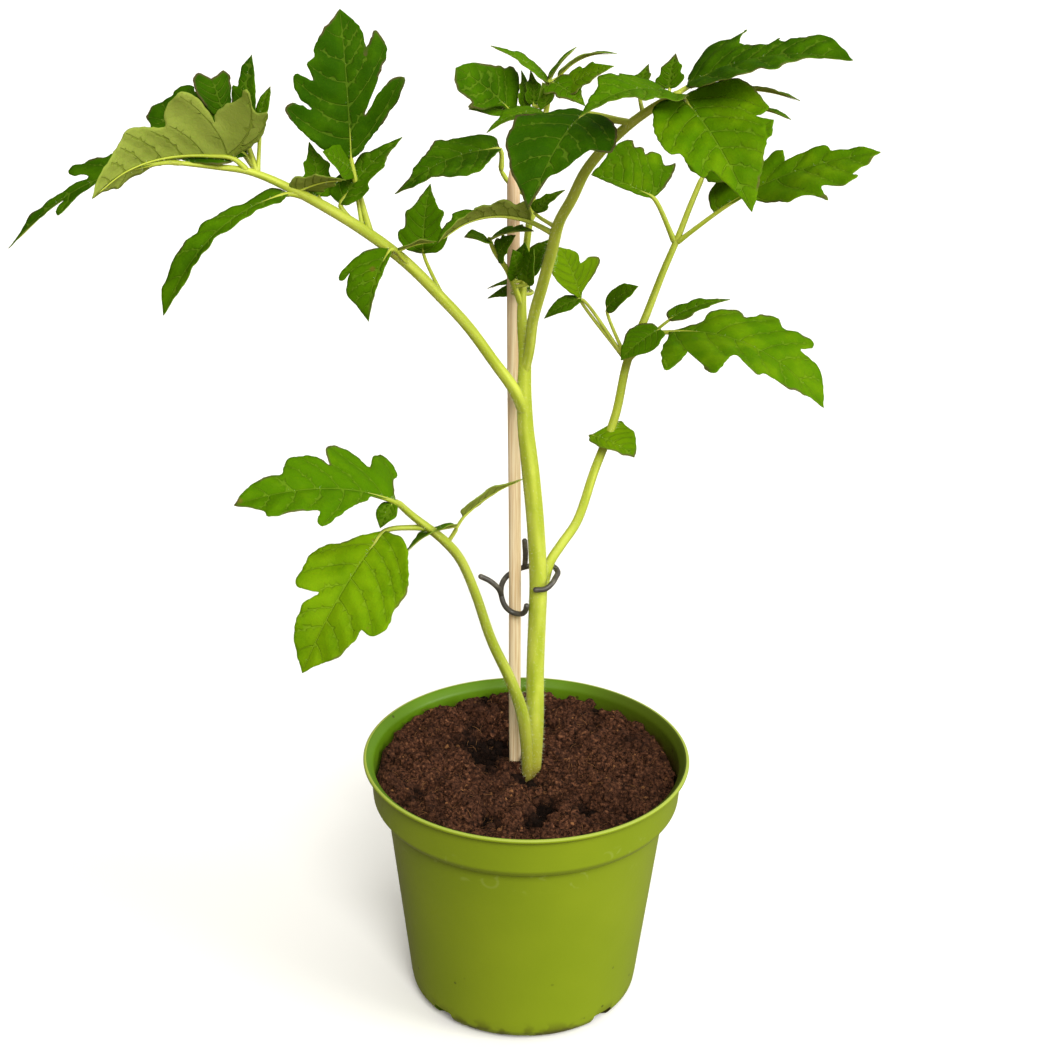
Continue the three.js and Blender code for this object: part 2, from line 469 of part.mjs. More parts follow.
const LEAF_FRONT_RIGHT = {
  name: "leaf_front_right",
  stalk: [[-3, 6, 248], [-1, 3, 257], [0, -1, 269], [3, -8, 284], [6, -15, 299], [8, -20, 310],
    [12, -26, 320], [16, -32, 331], [22, -38, 341], [30, -45, 351], [37, -51, 358], [44, -57, 364]],
  radii: [2.2, 2.1, 2.1, 2, 1.7, 1.2],
  leaflets: [
    { shape: ["droopingOuter", "droopingInner"], from: 1, base: [44, -59, 363], tip: [64, -94, 338],
      half: [20, 16], tilt: 12, bow: 0.1 },
    { shape: "toothed", from: 0.95, base: [41, -57, 363], tip: [13, -82, 363], half: [13, 13], tilt: 52,
      bow: 0.12 },
    { shape: ["frontInner", "frontOuter"], from: 0.84, base: [16, -46, 354], tip: [-2, -80, 333],
      half: [13, 15], tilt: 14, bow: 0.18 },
    { shape: "toothed", from: 0.84, base: [3, -44, 353], tip: [-15, -56, 350], half: [6, 6], tilt: 55,
      bow: 0.12 },
    { shape: ["topHigh", "topLow"], from: 0.98, base: [46, -54, 365], tip: [93, -76, 379],
      half: [20, 18], tilt: 58, bow: 0.1 },
    { shape: "oval", from: 0.93, base: [59, -46, 361], tip: [80, -58, 360], half: [4, 4], tilt: 82 },
    { shape: "oval", from: 0.9, base: [65, -44, 355], tip: [78, -54, 353], half: [3, 3], tilt: 70 },
    { shape: "toothed", from: 0.88, base: [32, -40, 358], tip: [35, -32, 366], half: [4, 4], tilt: 40 },
    { shape: "toothed", from: 0.94, base: [41, -46, 362], tip: [43, -38, 371], half: [5, 5], tilt: 35 },
    { shape: "narrow", from: 0.44, base: [-1, -16, 311], tip: [-31, -34, 311], half: [9, 9], tilt: 84,
      bow: 0.18, fold: 30 },
    { shape: "toothed", from: 0.46, base: [0, -15, 312], tip: [10, -10, 318], half: [4, 4], tilt: 50 },
  ],
};

const LEAF_BACK_LEFT = {
  name: "leaf_back_left",
  stalk: [[-2, 6, 301], [0, 12, 304], [-3, 19, 307], [-9, 24, 310], [-12, 26, 314]],
  radii: [1.1, 1, 0.8],
  leaflets: [
    { shape: ["slopingLow", "slopingHigh"], from: 1, base: [-12, 26, 321], tip: [-47, 8, 310],
      half: [15, 11], tilt: 48, bow: 0.1 },
  ],
};

const SIDE_SHOOT = {
  name: "side_shoot",
  stalk: [[-4, 5, 272], [-6, 2, 279], [-9, -3, 288], [-13, -6, 295], [-15, -9, 301]],
  radii: [1.1, 1, 0.7],
  leaflets: [
    { shape: "oval", from: 1, base: [-15, -9, 300], tip: [-23, -15, 303], half: [4, 4], tilt: 55 },
    { shape: "toothed", from: 0.98, base: [-14, -9, 301], tip: [0, -20, 307], half: [6, 6], tilt: 66 },
    { shape: "toothed", from: 0.75, base: [-12, -7, 294], tip: [-6, -12, 303], half: [5, 5], tilt: 40 },
    { shape: "oval", from: 0.4, base: [-6, 0, 284], tip: [-7, -6, 296], half: [4, 4], tilt: 35 },
    { shape: "oval", from: 0.34, base: [-4, 0, 283], tip: [-3, -1, 297], half: [4, 4], tilt: 25 },
    { shape: "oval", from: 0.28, base: [-2, -1, 282], tip: [0, -5, 296], half: [4, 4], tilt: 45 },
    { shape: "oval", from: 0.26, via: [[-7, 7, 278], [-2, 12, 277]], base: [-2, 19, 276],
      tip: [-16, 28, 270], half: [3, 3], tilt: 68 },
    { shape: "oval", from: 0.2, via: [[-7, 7, 276], [-1, 12, 274]], base: [-1, 19, 273],
      tip: [-16, 29, 266], half: [4, 4], tilt: 55 },
    { shape: "oval", from: 0.3, via: [[-7, 8, 280]], base: [-2, 10, 281], tip: [5, 14, 293], half: [5, 5],
      tilt: 45 },
  ],
};

const SHOOT_TIP = {
  name: "shoot_tip",
  stalk: [[2, 5, 327], [3, 4, 338], [4, 3, 345], [4, 3, 351]],
  radii: [1, 1, 0.8],
  leaflets: [
    { shape: ["fanLow", "fanHigh"], from: 0.4, base: [-7, 0, 340], tip: [-26, -9, 358], half: [12, 12],
      tilt: 30, fold: 10 },
    { shape: "oval", from: 0.3, base: [-8, -1, 341], tip: [-22, -4, 343], half: [4, 4], tilt: 48 },
    { shape: "toothed", from: 0.52, base: [-4, 3, 342], tip: [-5, 8, 353], half: [5, 5], tilt: 60 },
    { shape: "toothed", from: 0.62, base: [-1, 3, 343], tip: [-2, 8, 353], half: [4, 4], tilt: 40 },
    { shape: "toothed", from: 1, base: [4, 4, 350], tip: [-15, -4, 362], half: [5, 5], tilt: 60 },
    { shape: "oval", from: 1, base: [4, 4, 351], tip: [13, 8, 361], half: [3, 3], tilt: 74 },
    { shape: "oval", from: 1, base: [7, 4, 351], tip: [26, 0, 359], half: [4, 4], tilt: 82 },
    { shape: "toothed", from: 0.95, base: [5, 1, 351], tip: [16, -13, 347], half: [6, 6], tilt: 24 },
    { shape: "toothed", from: 0.85, base: [10, -2, 350], tip: [23, -8, 355], half: [6, 6], tilt: 45 },
    { shape: "oval", from: 0.7, base: [3, 1, 343], tip: [2, -3, 352], half: [4, 4], tilt: 40 },
  ],
};

const LEAVES = [
  LEAF_LOWER_LEFT, LEAF_RIGHT, LEAF_UPPER_LEFT, LEAF_FRONT_RIGHT, LEAF_BACK_LEFT, SIDE_SHOOT, SHOOT_TIP,
];

function mainStem(extra = 0) {
  return taperedTube(MAIN_STEM.points, MAIN_STEM.radii, STEM_SIDES, MAIN_STEM.steps, extra);
}

// ---------- support stick and plant clip ----------

const STICK_POINTS = [[-3, 15, 12], [-7.4, 15, 317]];
const STICK_RADIUS = 2.2;

function supportStick(extra = 0) {
  return taperedTube(STICK_POINTS, [STICK_RADIUS, STICK_RADIUS], STEM_SIDES, 1, extra);
}

const CLIP_RADIUS = 1;
const CLIP_RING_STEPS = 26;
const CLIP_PRONG_STEPS = 3;
const CLIP_RING = [[1.6, 3.4, 164.9], [6, 3.4, 165.4], [8.4, 5, 167], [9.6, 8, 167.8], [10.4, 12, 168],
  [8.4, 16.4, 168.2], [4, 17.8, 167.8], [-1.6, 19, 166.4], [-4.8, 19.4, 164.8], [-8, 18.4, 162.9],
  [-9.8, 15, 161.2], [-10, 12, 158.7], [-8.6, 10.8, 154.7], [-6.1, 10.6, 152.3], [-3.1, 9.4, 152.1],
  [-1.3, 7, 154.3], [-0.6, 5, 158.2]];
const CLIP_PRONGS = [
  [[-18, 8, 168], [-14, 9, 165.4], [-11, 10, 162], [-9.8, 12, 158]],
  [[-1.6, 19, 166.4], [-1.4, 17.6, 172], [-1.8, 17, 178.6]],
];

function plantClip() {
  const parts = [taperedTube(CLIP_RING, [CLIP_RADIUS, CLIP_RADIUS], STALK_SIDES, CLIP_RING_STEPS)];
  for (const prong of CLIP_PRONGS) {
    parts.push(taperedTube(prong, [CLIP_RADIUS, CLIP_RADIUS], STALK_SIDES, CLIP_PRONG_STEPS));
  }
  return wasm.Manifold.union(parts);
}

// ---------- pot ----------

// Outer side from the foot up to the lip, as [radius, height].
const POT_OUTSIDE = [[FOOT_RADIUS, 0], [40.4, 2.4], [42.2, 5], [BODY_FOOT_RADIUS, FOOT_CORNER + 1],
  [BODY_TOP_RADIUS, POT_HEIGHT - COLLAR_HEIGHT - 2.6], [54.6, POT_HEIGHT - COLLAR_HEIGHT - 1],
  [COLLAR_RADIUS - 1, POT_HEIGHT - COLLAR_HEIGHT + 1.6], [COLLAR_RADIUS, POT_HEIGHT - 3.4],
  [RIM_RADIUS, POT_HEIGHT - 2.4], [RIM_RADIUS, POT_HEIGHT - 0.6], [RIM_RADIUS - 0.8, POT_HEIGHT]];

// Inner side from the lip down to the floor.
const FLOOR_TOP = WALL + 0.3;
const POT_INSIDE = [[COLLAR_RADIUS - WALL, POT_HEIGHT],
  [COLLAR_RADIUS - WALL - 1, POT_HEIGHT - COLLAR_HEIGHT + 2.2],
  [BODY_TOP_RADIUS - WALL + 0.2, POT_HEIGHT - COLLAR_HEIGHT - 1.2],
  [BODY_FOOT_RADIUS - WALL, FOOT_CORNER + 1.4], [39.4, 3.4], [FOOT_RADIUS - 0.6, FLOOR_TOP]];

function lathe(profile) {
  const points = profile.map(([radius, height]) => new THREE.Vector2(radius, height));
  return toSolid(new THREE.LatheGeometry(points, ROUND_SIDES).rotateX(Math.PI / 2));
}

// Deep drain slots and shallow feet gaps take turns round the foot, from just left of the front.
const FOOT_CUT_COUNT = 8;
const FIRST_FOOT_CUT = -3;
const DEEP_SLOT_TURN = 3;
const FOOT_CUT_OUTER = FOOT_RADIUS + 10;
const DEEP_SLOT = { width: 9, height: 6.4, reach: 20 };
const SHALLOW_GAP = { width: 10, height: 2.8, reach: 13 };

// A block that cuts out through the foot, at an angle from the front towards the right.
function footCut(angle, { width, height, reach }) {
  const block = new THREE.BoxGeometry(width, reach, 2 * height);
  block.translate(0, reach / 2 - FOOT_CUT_OUTER, 0);
  block.rotateZ(THREE.MathUtils.degToRad(angle));
  return toSolid(block);
}

function pot() {
  let body = lathe([[0, 0], ...POT_OUTSIDE, ...POT_INSIDE, [0, FLOOR_TOP]]);
  for (let cut = 0; cut < FOOT_CUT_COUNT; cut += 1) {
    const angle = FIRST_FOOT_CUT + (360 * cut) / FOOT_CUT_COUNT;
    const isDeep = cut % 2 === 1;
    body = body.subtract(isDeep ? footCut(angle + DEEP_SLOT_TURN, DEEP_SLOT) : footCut(angle, SHALLOW_GAP));
  }
  return body;
}

// ---------- soil ----------

const SOIL_RINGS = [7, 14, 21, 28, 35, 42, 48, 52.5];
const SOIL_SIDE = [[BODY_TOP_RADIUS - WALL - 0.3, POT_HEIGHT - COLLAR_HEIGHT - 1.4],
  [BODY_FOOT_RADIUS - WALL - GAP, FOOT_CORNER + 1.8], [39, 3.8], [FOOT_RADIUS - 1, FLOOR_TOP + GAP]];
const SOIL_EDGE_RADIUS = COLLAR_RADIUS - WALL - 1.2;
const SOIL_EDGE_DROP = 1.2;

// Height of the soil's surface: a dome to the back, crumbs, a hollow by the stick and one at the front.
function soilHeight(x, y) {
  const slope = 0.07 * Math.max(y, 0);
  const crumbs = 0.8 * Math.sin(0.31 * x + 1) * Math.cos(0.27 * y) + 0.5 * Math.sin(0.5 * x - 0.4 * y);
  const stickHollow = -4 * Math.exp(-((x + 14) ** 2 + (y - 20) ** 2) / 90);
  const frontHollow = -4 * Math.exp(-((x - 4) ** 2 + (y + 26) ** 2) / 70);
  const frontClump = 3 * Math.exp(-((x - 10) ** 2 + (y + 42) ** 2) / 60);
  return SOIL_LEVEL + slope + crumbs + stickHollow + frontHollow + frontClump;
}

function soil() {
  const positions = [];
  const addRing = (radius, heightOf) => {
    for (let side = 0; side < ROUND_SIDES; side += 1) {
      const angle = (2 * Math.PI * side) / ROUND_SIDES;
      const x = radius * Math.sin(angle);
      const y = -radius * Math.cos(angle);
      positions.push(x, y, heightOf(x, y));
    }
  };
  for (const radius of SOIL_RINGS) {
    addRing(radius, soilHeight);
  }
  addRing(SOIL_EDGE_RADIUS, (x, y) => soilHeight(x, y) - SOIL_EDGE_DROP);
  for (const [radius, height] of SOIL_SIDE) {
    addRing(radius, () => height);
  }
  const rings = positions.length / 3 / ROUND_SIDES;
  const top = positions.length / 3;
  positions.push(0, 0, soilHeight(0, 0));
  positions.push(0, 0, SOIL_SIDE[SOIL_SIDE.length - 1][1]);
  const index = [];
  for (let side = 0; side < ROUND_SIDES; side += 1) {
    const next = (side + 1) % ROUND_SIDES;
    index.push(top, side, next);
    for (let level = 0; level < rings - 1; level += 1) {
      const a = level * ROUND_SIDES;
      const b = a + ROUND_SIDES;
      index.push(a + side, b + side, b + next, a + side, b + next, a + next);
    }
    const lowest = (rings - 1) * ROUND_SIDES;
    index.push(lowest + side, top + 1, lowest + next);
  }
  return toSolid(indexedGeometry(positions, index));
}

// ---------- assembly ----------

const stemZone = mainStem(GAP);
const stickZone = supportStick(GAP);

// The foot of the lower left leaf's stalk, which stands in the soil close to the stem.
const BURIED_STALK_RADII = [2.5, 2.6, 2.4];
const buriedStalkZone = taperedTube(LEAF_LOWER_LEFT.stalk.slice(0, 3), BURIED_STALK_RADII, STALK_SIDES, 3,
  GAP);

const plantedSoil = mainBody(soil().subtract(stemZone).subtract(stickZone).subtract(buriedStalkZone));
const leafFinish = finish(LEAF_GREEN, 0.55);

const plant = new THREE.Group();
plant.add(node("pot", pot(), finish(POT_GREEN, 0.4)));
plant.add(node("soil", plantedSoil, finish(PEAT_BROWN, 0.95)));
plant.add(node("main_stem", mainStem(), finish(STEM_GREEN, 0.5)));
plant.add(node("support_stick", supportStick(), finish(CANE_CREAM, 0.6)));
plant.add(node("plant_clip", plantClip(), finish(CLIP_GREY, 0.5)));
for (const leaf of LEAVES) {
  plant.add(node(leaf.name, mainBody(compoundLeaf(leaf).subtract(stemZone)), leafFinish));
}

export default plant;
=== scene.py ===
"""A young tomato plant in a round nursery pot.

The soft, grown and finely shaped surfaces are made here round the plain solids: waved and veined
leaflets, grooved stalks with hairs, crumbly potting soil and the thermoformed pot. Sizes are in
millimetres and become metres where a mesh is made.
"""

import math

import bmesh
import bpy
import numpy as np
from mathutils import Matrix, Vector, noise
from mathutils.geometry import delaunay_2d_cdt


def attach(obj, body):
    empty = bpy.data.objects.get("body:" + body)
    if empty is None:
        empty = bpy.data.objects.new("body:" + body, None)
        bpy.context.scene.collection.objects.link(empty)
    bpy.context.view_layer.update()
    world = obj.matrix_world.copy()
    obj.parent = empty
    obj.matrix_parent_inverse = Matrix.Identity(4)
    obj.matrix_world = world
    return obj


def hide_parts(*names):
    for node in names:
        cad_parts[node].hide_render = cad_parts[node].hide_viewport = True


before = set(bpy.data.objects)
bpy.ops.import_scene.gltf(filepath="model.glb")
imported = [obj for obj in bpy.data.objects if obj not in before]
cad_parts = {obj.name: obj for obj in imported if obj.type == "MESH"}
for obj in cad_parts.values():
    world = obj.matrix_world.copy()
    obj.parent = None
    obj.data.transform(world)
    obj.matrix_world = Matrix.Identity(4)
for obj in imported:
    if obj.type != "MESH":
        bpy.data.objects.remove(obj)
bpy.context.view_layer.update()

MM = 0.001


# ---------- the plant's measures, in millimetres ----------

POT_HEIGHT = 99
RIM_RADIUS = 60
WALL = 1.2
COLLAR_RADIUS = 57.4  # at the collar's top, under the lip
COLLAR_HEIGHT = 17
BODY_TOP_RADIUS = 51.4
BODY_FOOT_RADIUS = 42.8
FOOT_RADIUS = 36.4
FOOT_CORNER = 7.5  # the height at which the body starts to round into its foot
SOIL_LEVEL = 89

FRONT = np.array([0, -0.9, 0.42]) / math.hypot(0.9, 0.42)  # the way an untilted leaflet faces
USUAL_FOLD = 8  # degrees that each half of a leaflet rises from its midrib
USUAL_BOW = 0.06  # how far a midrib arches, as a share of its length
SMALL_LENGTH = 25  # a shorter leaflet has a thin stalk, a finer grid and no branch veins


def leaflet(shape, start, base, tip, half, tilt, bow=USUAL_BOW, fold=USUAL_FOLD, via=(), tone=0.5):
    """One leaflet. `start` is where its small stalk leaves the leaf stalk, `half` the widths of its
    blade to the left and right of the midrib, `tilt` turns its face from the front to the sky, `via`
    are points on its small stalk's way, and `tone` runs from a dark green, 0, to a bright yellowish
    one, 1."""
    left, right = shape if isinstance(shape, tuple) else (shape, shape)
    return {"left": left, "right": right, "start": start, "base": base, "tip": tip, "half": half,
            "tilt": tilt, "bow": bow, "fold": fold, "via": list(via), "tone": tone}


MAIN_STEM = {
    "stalk": [(2, 8, 62), (2.4, 8, 84), (3, 8, 105), (2.8, 8, 130), (3.2, 8, 152), (3.4, 8, 164),
        (2.8, 8, 178), (1.5, 8, 195), (-0.6, 7, 215), (-2, 7, 227), (-2.6, 6, 240), (-2.6, 6, 253),
        (-3.8, 5, 270), (-3, 5, 288), (-1.4, 6, 304), (1.5, 5, 330)],
    "stalk_tone": 0.6,
    "radii": [2.6, 3.1, 3.3, 3.3, 3.3, 3.2, 3.2, 2.8, 2.1, 1.3, 1.2, 1.1],
}

LEAF_LOWER_LEFT = {
    "name": "leaf_lower_left",
    "stalk": [(0.8, 6.6, 80), (0.4, 5.6, 96), (-1.6, 3, 114), (-6, -1, 130), (-13, -6, 149),
        (-19, -13, 172), (-24, -18, 187), (-29, -23, 196), (-40, -32, 210), (-45, -36, 217)],
    "stalk_tone": 0.15,
    "radii": [2.4, 2.5, 2, 1.8, 1.7, 1.1],
    "leaflets": [
        leaflet(("end_low", "end_high"), 1, (-45, -37, 217), (-96, -64, 227), (18, 20), 42, bow=0.12),
        leaflet("oval", 0.98, (-46, -38, 217), (-50, -43, 210), (4, 4), 30),
        leaflet(("hanging_inner", "hanging_outer"), 0.88, (-49, -34, 205), (-75, -66, 167), (20, 16), 15,
                bow=0.12, tone=0.85),
        leaflet("toothed", 0.8, (-23, -22, 205), (-2, -16, 217), (8, 8), 100),
        leaflet("toothed", 0.8, (-25, -23, 202), (-43, -31, 194), (7, 7), 80, bow=0.12),
    ],
}

LEAF_RIGHT = {
    "name": "leaf_right",
    "stalk": [(5, 11, 160), (6, 12, 166), (7.6, 13.4, 171.5), (11.6, 15.6, 177.5), (17, 19, 185),
        (23, 24, 203), (30, 29, 222), (34, 33, 242), (40, 37, 257), (46, 41, 273), (51, 44, 285),
        (55, 46, 296), (59, 48, 306)],
    "stalk_tone": 0.6,
    "radii": [2, 1.8, 1.7, 1.6, 1.3, 1],
    "leaflets": [
        leaflet(("hooked", "oval"), 0.37, (21, 26, 216), (37, 20, 210), (11, 5), 40, bow=0.1, tone=0.8),
        leaflet(("wide_high", "wide_low"), 0.56, (48, 28, 255), (102, 10, 234), (20, 28), 47,
                bow=0.17, via=[(40, 32, 252)], tone=0.65),
        leaflet("toothed", 0.58, (48, 32, 258), (70, 40, 263), (5, 5), 55),
        leaflet("oval", 0.56, (45, 28, 256), (31, 20, 247), (7, 7), 40),
        leaflet(("blunt", "bitten"), 0.56, (17, 40, 262), (9, 45, 280), (9, 12), 35, tone=0.9),
        leaflet("oval", 0.56, (17, 39, 263), (4, 34, 257), (4, 4), 45),
        leaflet("oval", 0.56, (26, 37, 260), (37, 33, 270), (5, 5), 45),
        leaflet(("oval", "notched"), 0.84, (42, 47, 298), (20, 60, 302), (3, 19), 35, tone=0.6),
        leaflet(("reaching_high", "reaching_low"), 0.84, (63, 42, 294), (118, 28, 321), (15, 20), 50,
                bow=0.075, tone=0.65),
        leaflet("broad", 1, (59, 48, 306), (84, 60, 323), (15, 15), 45),
    ],
}

LEAF_UPPER_LEFT = {
    "name": "leaf_upper_left",
    "stalk": [(-1.6, 7.2, 230), (-6, 3, 242), (-13, 1, 253), (-22, -2, 267), (-31, -4, 278),
        (-43, -8, 292), (-57, -11, 304), (-74, -13, 315), (-92, -15, 324), (-104, -16, 326),
        (-119, -18, 328)],
    "stalk_tone": 0.6,
    "radii": [2.4, 2, 1.9, 2, 1.8, 1.2, 0.7],
    "leaflets": [
        leaflet(("forked_low", "forked_high"), 1, (-119, -18, 328), (-169, -34, 303), (8, 10), 40,
                bow=0.13, tone=0.2),
        leaflet(("arched_high", "arched_low"), 0.84, (-98, -16, 329), (-140, -40, 322), (23, 5), 128,
                bow=0.2),
        leaflet(("oval", "ridged"), 0.82, (-94, -10, 328), (-129, 6, 336), (14, 17), 35, tone=0.1),
        leaflet(("broad", "oval"), 0.82, (-95, -6, 334), (-93, 4, 358), (5, 4), 20, tone=0.15),
        leaflet("oval", 0.82, (-90, -6, 337), (-87, 2, 348), (3, 3), 40),
        leaflet(("twin_left", "twin_right"), 0.82, (-102, 2, 334), (-107, 7, 349), (7, 6), 25, tone=0.1),
        leaflet(("drawn_low", "drawn_high"), 0.7, (-80, -15, 317), (-118, -48, 286), (5, 7), 40,
                bow=0.16, tone=0.35),
        leaflet("toothed", 0.7, (-78, -13, 317), (-61, -22, 324), (7, 7), 105),
        leaflet("toothed", 0.66, (-71, -8, 314), (-75, 4, 329), (6, 6), 35),
        leaflet("oval", 0.58, (-60, -6, 322), (-69, -14, 331), (6, 6), 40),
        leaflet(("deep", "cut"), 0.56, (-60.5, -5, 326), (-64.5, 10, 372), (21, 18), 12, fold=14, tone=0.1),
        leaflet("toothed", 0.6, (-64, -10, 312), (-44, 4, 331), (8, 8), 40, tone=0.3),
        leaflet("toothed", 0.34, (-37, -3, 293), (-35, 8, 314), (9, 9), 22, tone=0.4),
        leaflet(("oval", "scooped"), 0.45, (-47, -13, 298), (-54, -26, 277), (2, 13), 30, bow=0.14),
        leaflet("oval", 0.44, (-45, -12, 297), (-32, -8, 299), (5, 5), 86),
    ],
}

LEAF_FRONT_RIGHT = {
    "name": "leaf_front_right",
    "stalk": [(-2.6, 6.2, 247), (-1, 3, 257), (0, -1, 269), (3, -8, 284), (6, -15, 299), (8, -20, 310),
        (12, -26, 320), (16, -32, 331), (22, -38, 341), (30, -45, 351), (37, -51, 358),
        (44, -57, 364)],
    "stalk_tone": 0.6,
    "radii": [1.8, 2.1, 2.1, 2, 1.7, 1.2],
    "leaflets": [
        leaflet(("drooping_outer", "drooping_inner"), 1, (44, -59, 363), (64, -94, 338), (20, 16), 12,
                bow=0.1, tone=0.65),
        leaflet("toothed", 0.95, (41, -57, 363), (13, -82, 363), (13, 13), 52, bow=0.12),
        leaflet(("front_inner", "front_outer"), 0.84, (16, -46, 354), (-2, -80, 333), (16, 15), 14,
                bow=0.18, tone=0.05),
        leaflet("toothed", 0.84, (3, -44, 353), (-15, -56, 350), (6, 6), 55, bow=0.12),
        leaflet(("top_high", "top_low"), 0.98, (46, -54, 365), (93, -76, 379), (20, 18), 58, bow=0.1,
                tone=0.2),
        leaflet("oval", 0.93, (59, -46, 362), (80, -58, 362), (4, 4), 82),
        leaflet("oval", 0.9, (65, -44, 356), (78, -54, 355), (3, 3), 70),
        leaflet("toothed", 0.88, (32, -40, 358), (35, -32, 366), (4, 4), 40),
        leaflet("toothed", 0.94, (41, -46, 362), (43, -38, 371), (5, 5), 35),
        leaflet("narrow", 0.44, (-1, -16, 309), (-31, -34, 307), (9, 9), 84, bow=0.14, fold=30),
        leaflet("toothed", 0.46, (0, -15, 312), (10, -10, 318), (4, 4), 50),
    ],
}

LEAF_BACK_LEFT = {
    "name": "leaf_back_left",
    "stalk": [(-2, 6, 301), (0, 12, 304), (-3, 19, 307), (-9, 24, 310), (-12, 26, 314)],
    "stalk_tone": 0.6,
    "radii": [1.1, 1, 0.8],
    "leaflets": [
        leaflet(("sloping_low", "sloping_high"), 1, (-12, 26, 321), (-47, 8, 310), (15, 11), 48, bow=0.1,
                tone=0.25),
    ],
}

SIDE_SHOOT = {
    "name": "side_shoot",
    "stalk": [(-4, 5, 272), (-6, 2, 279), (-9, -3, 288), (-13, -6, 295), (-15, -9, 301)],
    "stalk_tone": 0.6,
    "radii": [1.1, 1, 0.7],
    "leaflets": [
        leaflet("oval", 1, (-15, -9, 300), (-23, -15, 303), (4, 4), 55),
        leaflet("toothed", 0.98, (-14, -9, 301), (0, -20, 307), (6, 6), 66),
        leaflet("toothed", 0.75, (-12, -7, 294), (-6, -12, 303), (5, 5), 40),
        leaflet("oval", 0.4, (-6, 0, 284), (-7, -6, 296), (4, 4), 35),
        leaflet("oval", 0.34, (-4, 0, 283), (-3, -1, 297), (4, 4), 25),
        leaflet("oval", 0.28, (-2, -1, 282), (0, -5, 296), (4, 4), 45),
        leaflet("oval", 0.26, (-2, 19, 276), (-16, 28, 270), (3, 3), 68,
                via=[(-7, 7, 278), (-2, 12, 277)]),
        leaflet("oval", 0.2, (-1, 19, 273), (-16, 29, 266), (4, 4), 55,
                via=[(-7, 7, 276), (-1, 12, 274)]),
        leaflet("oval", 0.3, (-2, 10, 281), (5, 14, 293), (5, 5), 45, via=[(-7, 8, 280)]),
    ],
}

SHOOT_TIP = {
    "name": "shoot_tip",
    "stalk": [(2, 5, 327), (3, 4, 338), (4, 3, 345), (4, 3, 351)],
    "stalk_tone": 0.6,
    "radii": [1, 1, 0.8],
    "leaflets": [
        leaflet(("fan_low", "fan_high"), 0.4, (-7, 0, 340), (-26, -9, 358), (12, 12), 30, fold=10,
                tone=0.25),
        leaflet("oval", 0.3, (-8, -1, 341), (-22, -4, 343), (4, 4), 48),
        leaflet("toothed", 0.52, (-4, 3, 342), (-5, 8, 353), (5, 5), 60),
        leaflet("toothed", 0.62, (-1, 3, 343), (-2, 8, 353), (4, 4), 40),
        leaflet("toothed", 1, (4, 4, 350), (-15, -4, 364), (5, 5), 60),
        leaflet("oval", 1, (4, 4, 351), (13, 8, 361), (3, 3), 74),
        leaflet("oval", 1, (7, 4, 352), (26, 0, 361), (4, 4), 82, bow=0.14),
        leaflet("toothed", 0.95, (5, 1, 351), (16, -13, 347), (6, 6), 24),
        leaflet("toothed", 0.85, (10, -2, 350), (25, -8, 359), (6, 7), 45, tone=0.7),
        leaflet("oval", 0.7, (3, 1, 343), (2, -3, 352), (4, 4), 40),
    ],
}

LEAVES = [LEAF_LOWER_LEFT, LEAF_RIGHT, LEAF_UPPER_LEFT, LEAF_FRONT_RIGHT, LEAF_BACK_LEFT, SIDE_SHOOT,
          SHOOT_TIP]


# ---------- smooth paths ----------

SPAN_STEPS = 12


def smooth_path(points):
    """Closely spaced points on a smooth line through the given ones: a centripetal spline."""
    points = np.array(points, float)
    ends = [2 * points[0] - points[1], 2 * points[-1] - points[-2]]
    guide = np.vstack([ends[0], points, ends[1]])
    fractions = np.linspace(0, 1, SPAN_STEPS, endpoint=False)[:, None]
    pieces = []
    for before, here, there, after in zip(guide, guide[1:], guide[2:], guide[3:]):
        gap_before, gap, gap_after = (max(math.sqrt(np.linalg.norm(b - a)), 1e-3)
                                      for a, b in ((before, here), (here, there), (there, after)))
        leave = gap * ((here - before) / gap_before - (there - before) / (gap_before + gap)
                       + (there - here) / gap)
        arrive = gap * ((there - here) / gap - (after - here) / (gap + gap_after)
                        + (after - there) / gap_after)
        square = -3 * here + 3 * there - 2 * leave - arrive
        cube = 2 * here - 2 * there + leave + arrive
        pieces.append(here + leave * fractions + square * fractions ** 2 + cube * fractions ** 3)
    return np.vstack(pieces + [points[-1:]])


def lengths_along(path):
    """Distance from the path's start to each of its points."""
    return np.concatenate([[0], np.cumsum(np.linalg.norm(np.diff(path, axis=0), axis=1))])


def points_at(path, fractions):
    """Points at fractions of a path's length."""
    distances = lengths_along(path)
    wanted = np.asarray(fractions) * distances[-1]
    return np.stack([np.interp(wanted, distances, column) for column in path.T], axis=-1)


def spread(values, fractions):
    """Values at fractions of a length, from ones spread evenly along it."""
    return np.interp(fractions, np.linspace(0, 1, len(values)), values)


def rough(points, size, seed):
    """Smooth random values from -1 to 1 that change over `size` millimetres."""
    return np.array([noise.noise(Vector((x / size + seed, y / size, z / size - seed)))
                     for x, y, z in points])


# ---------- meshes ----------

END_TAPER = 0.6  # a tube's last ring, as a share of its radius
ANY_WAY = (0.3, 0.9, 0.1)  # a direction that no tube here starts in


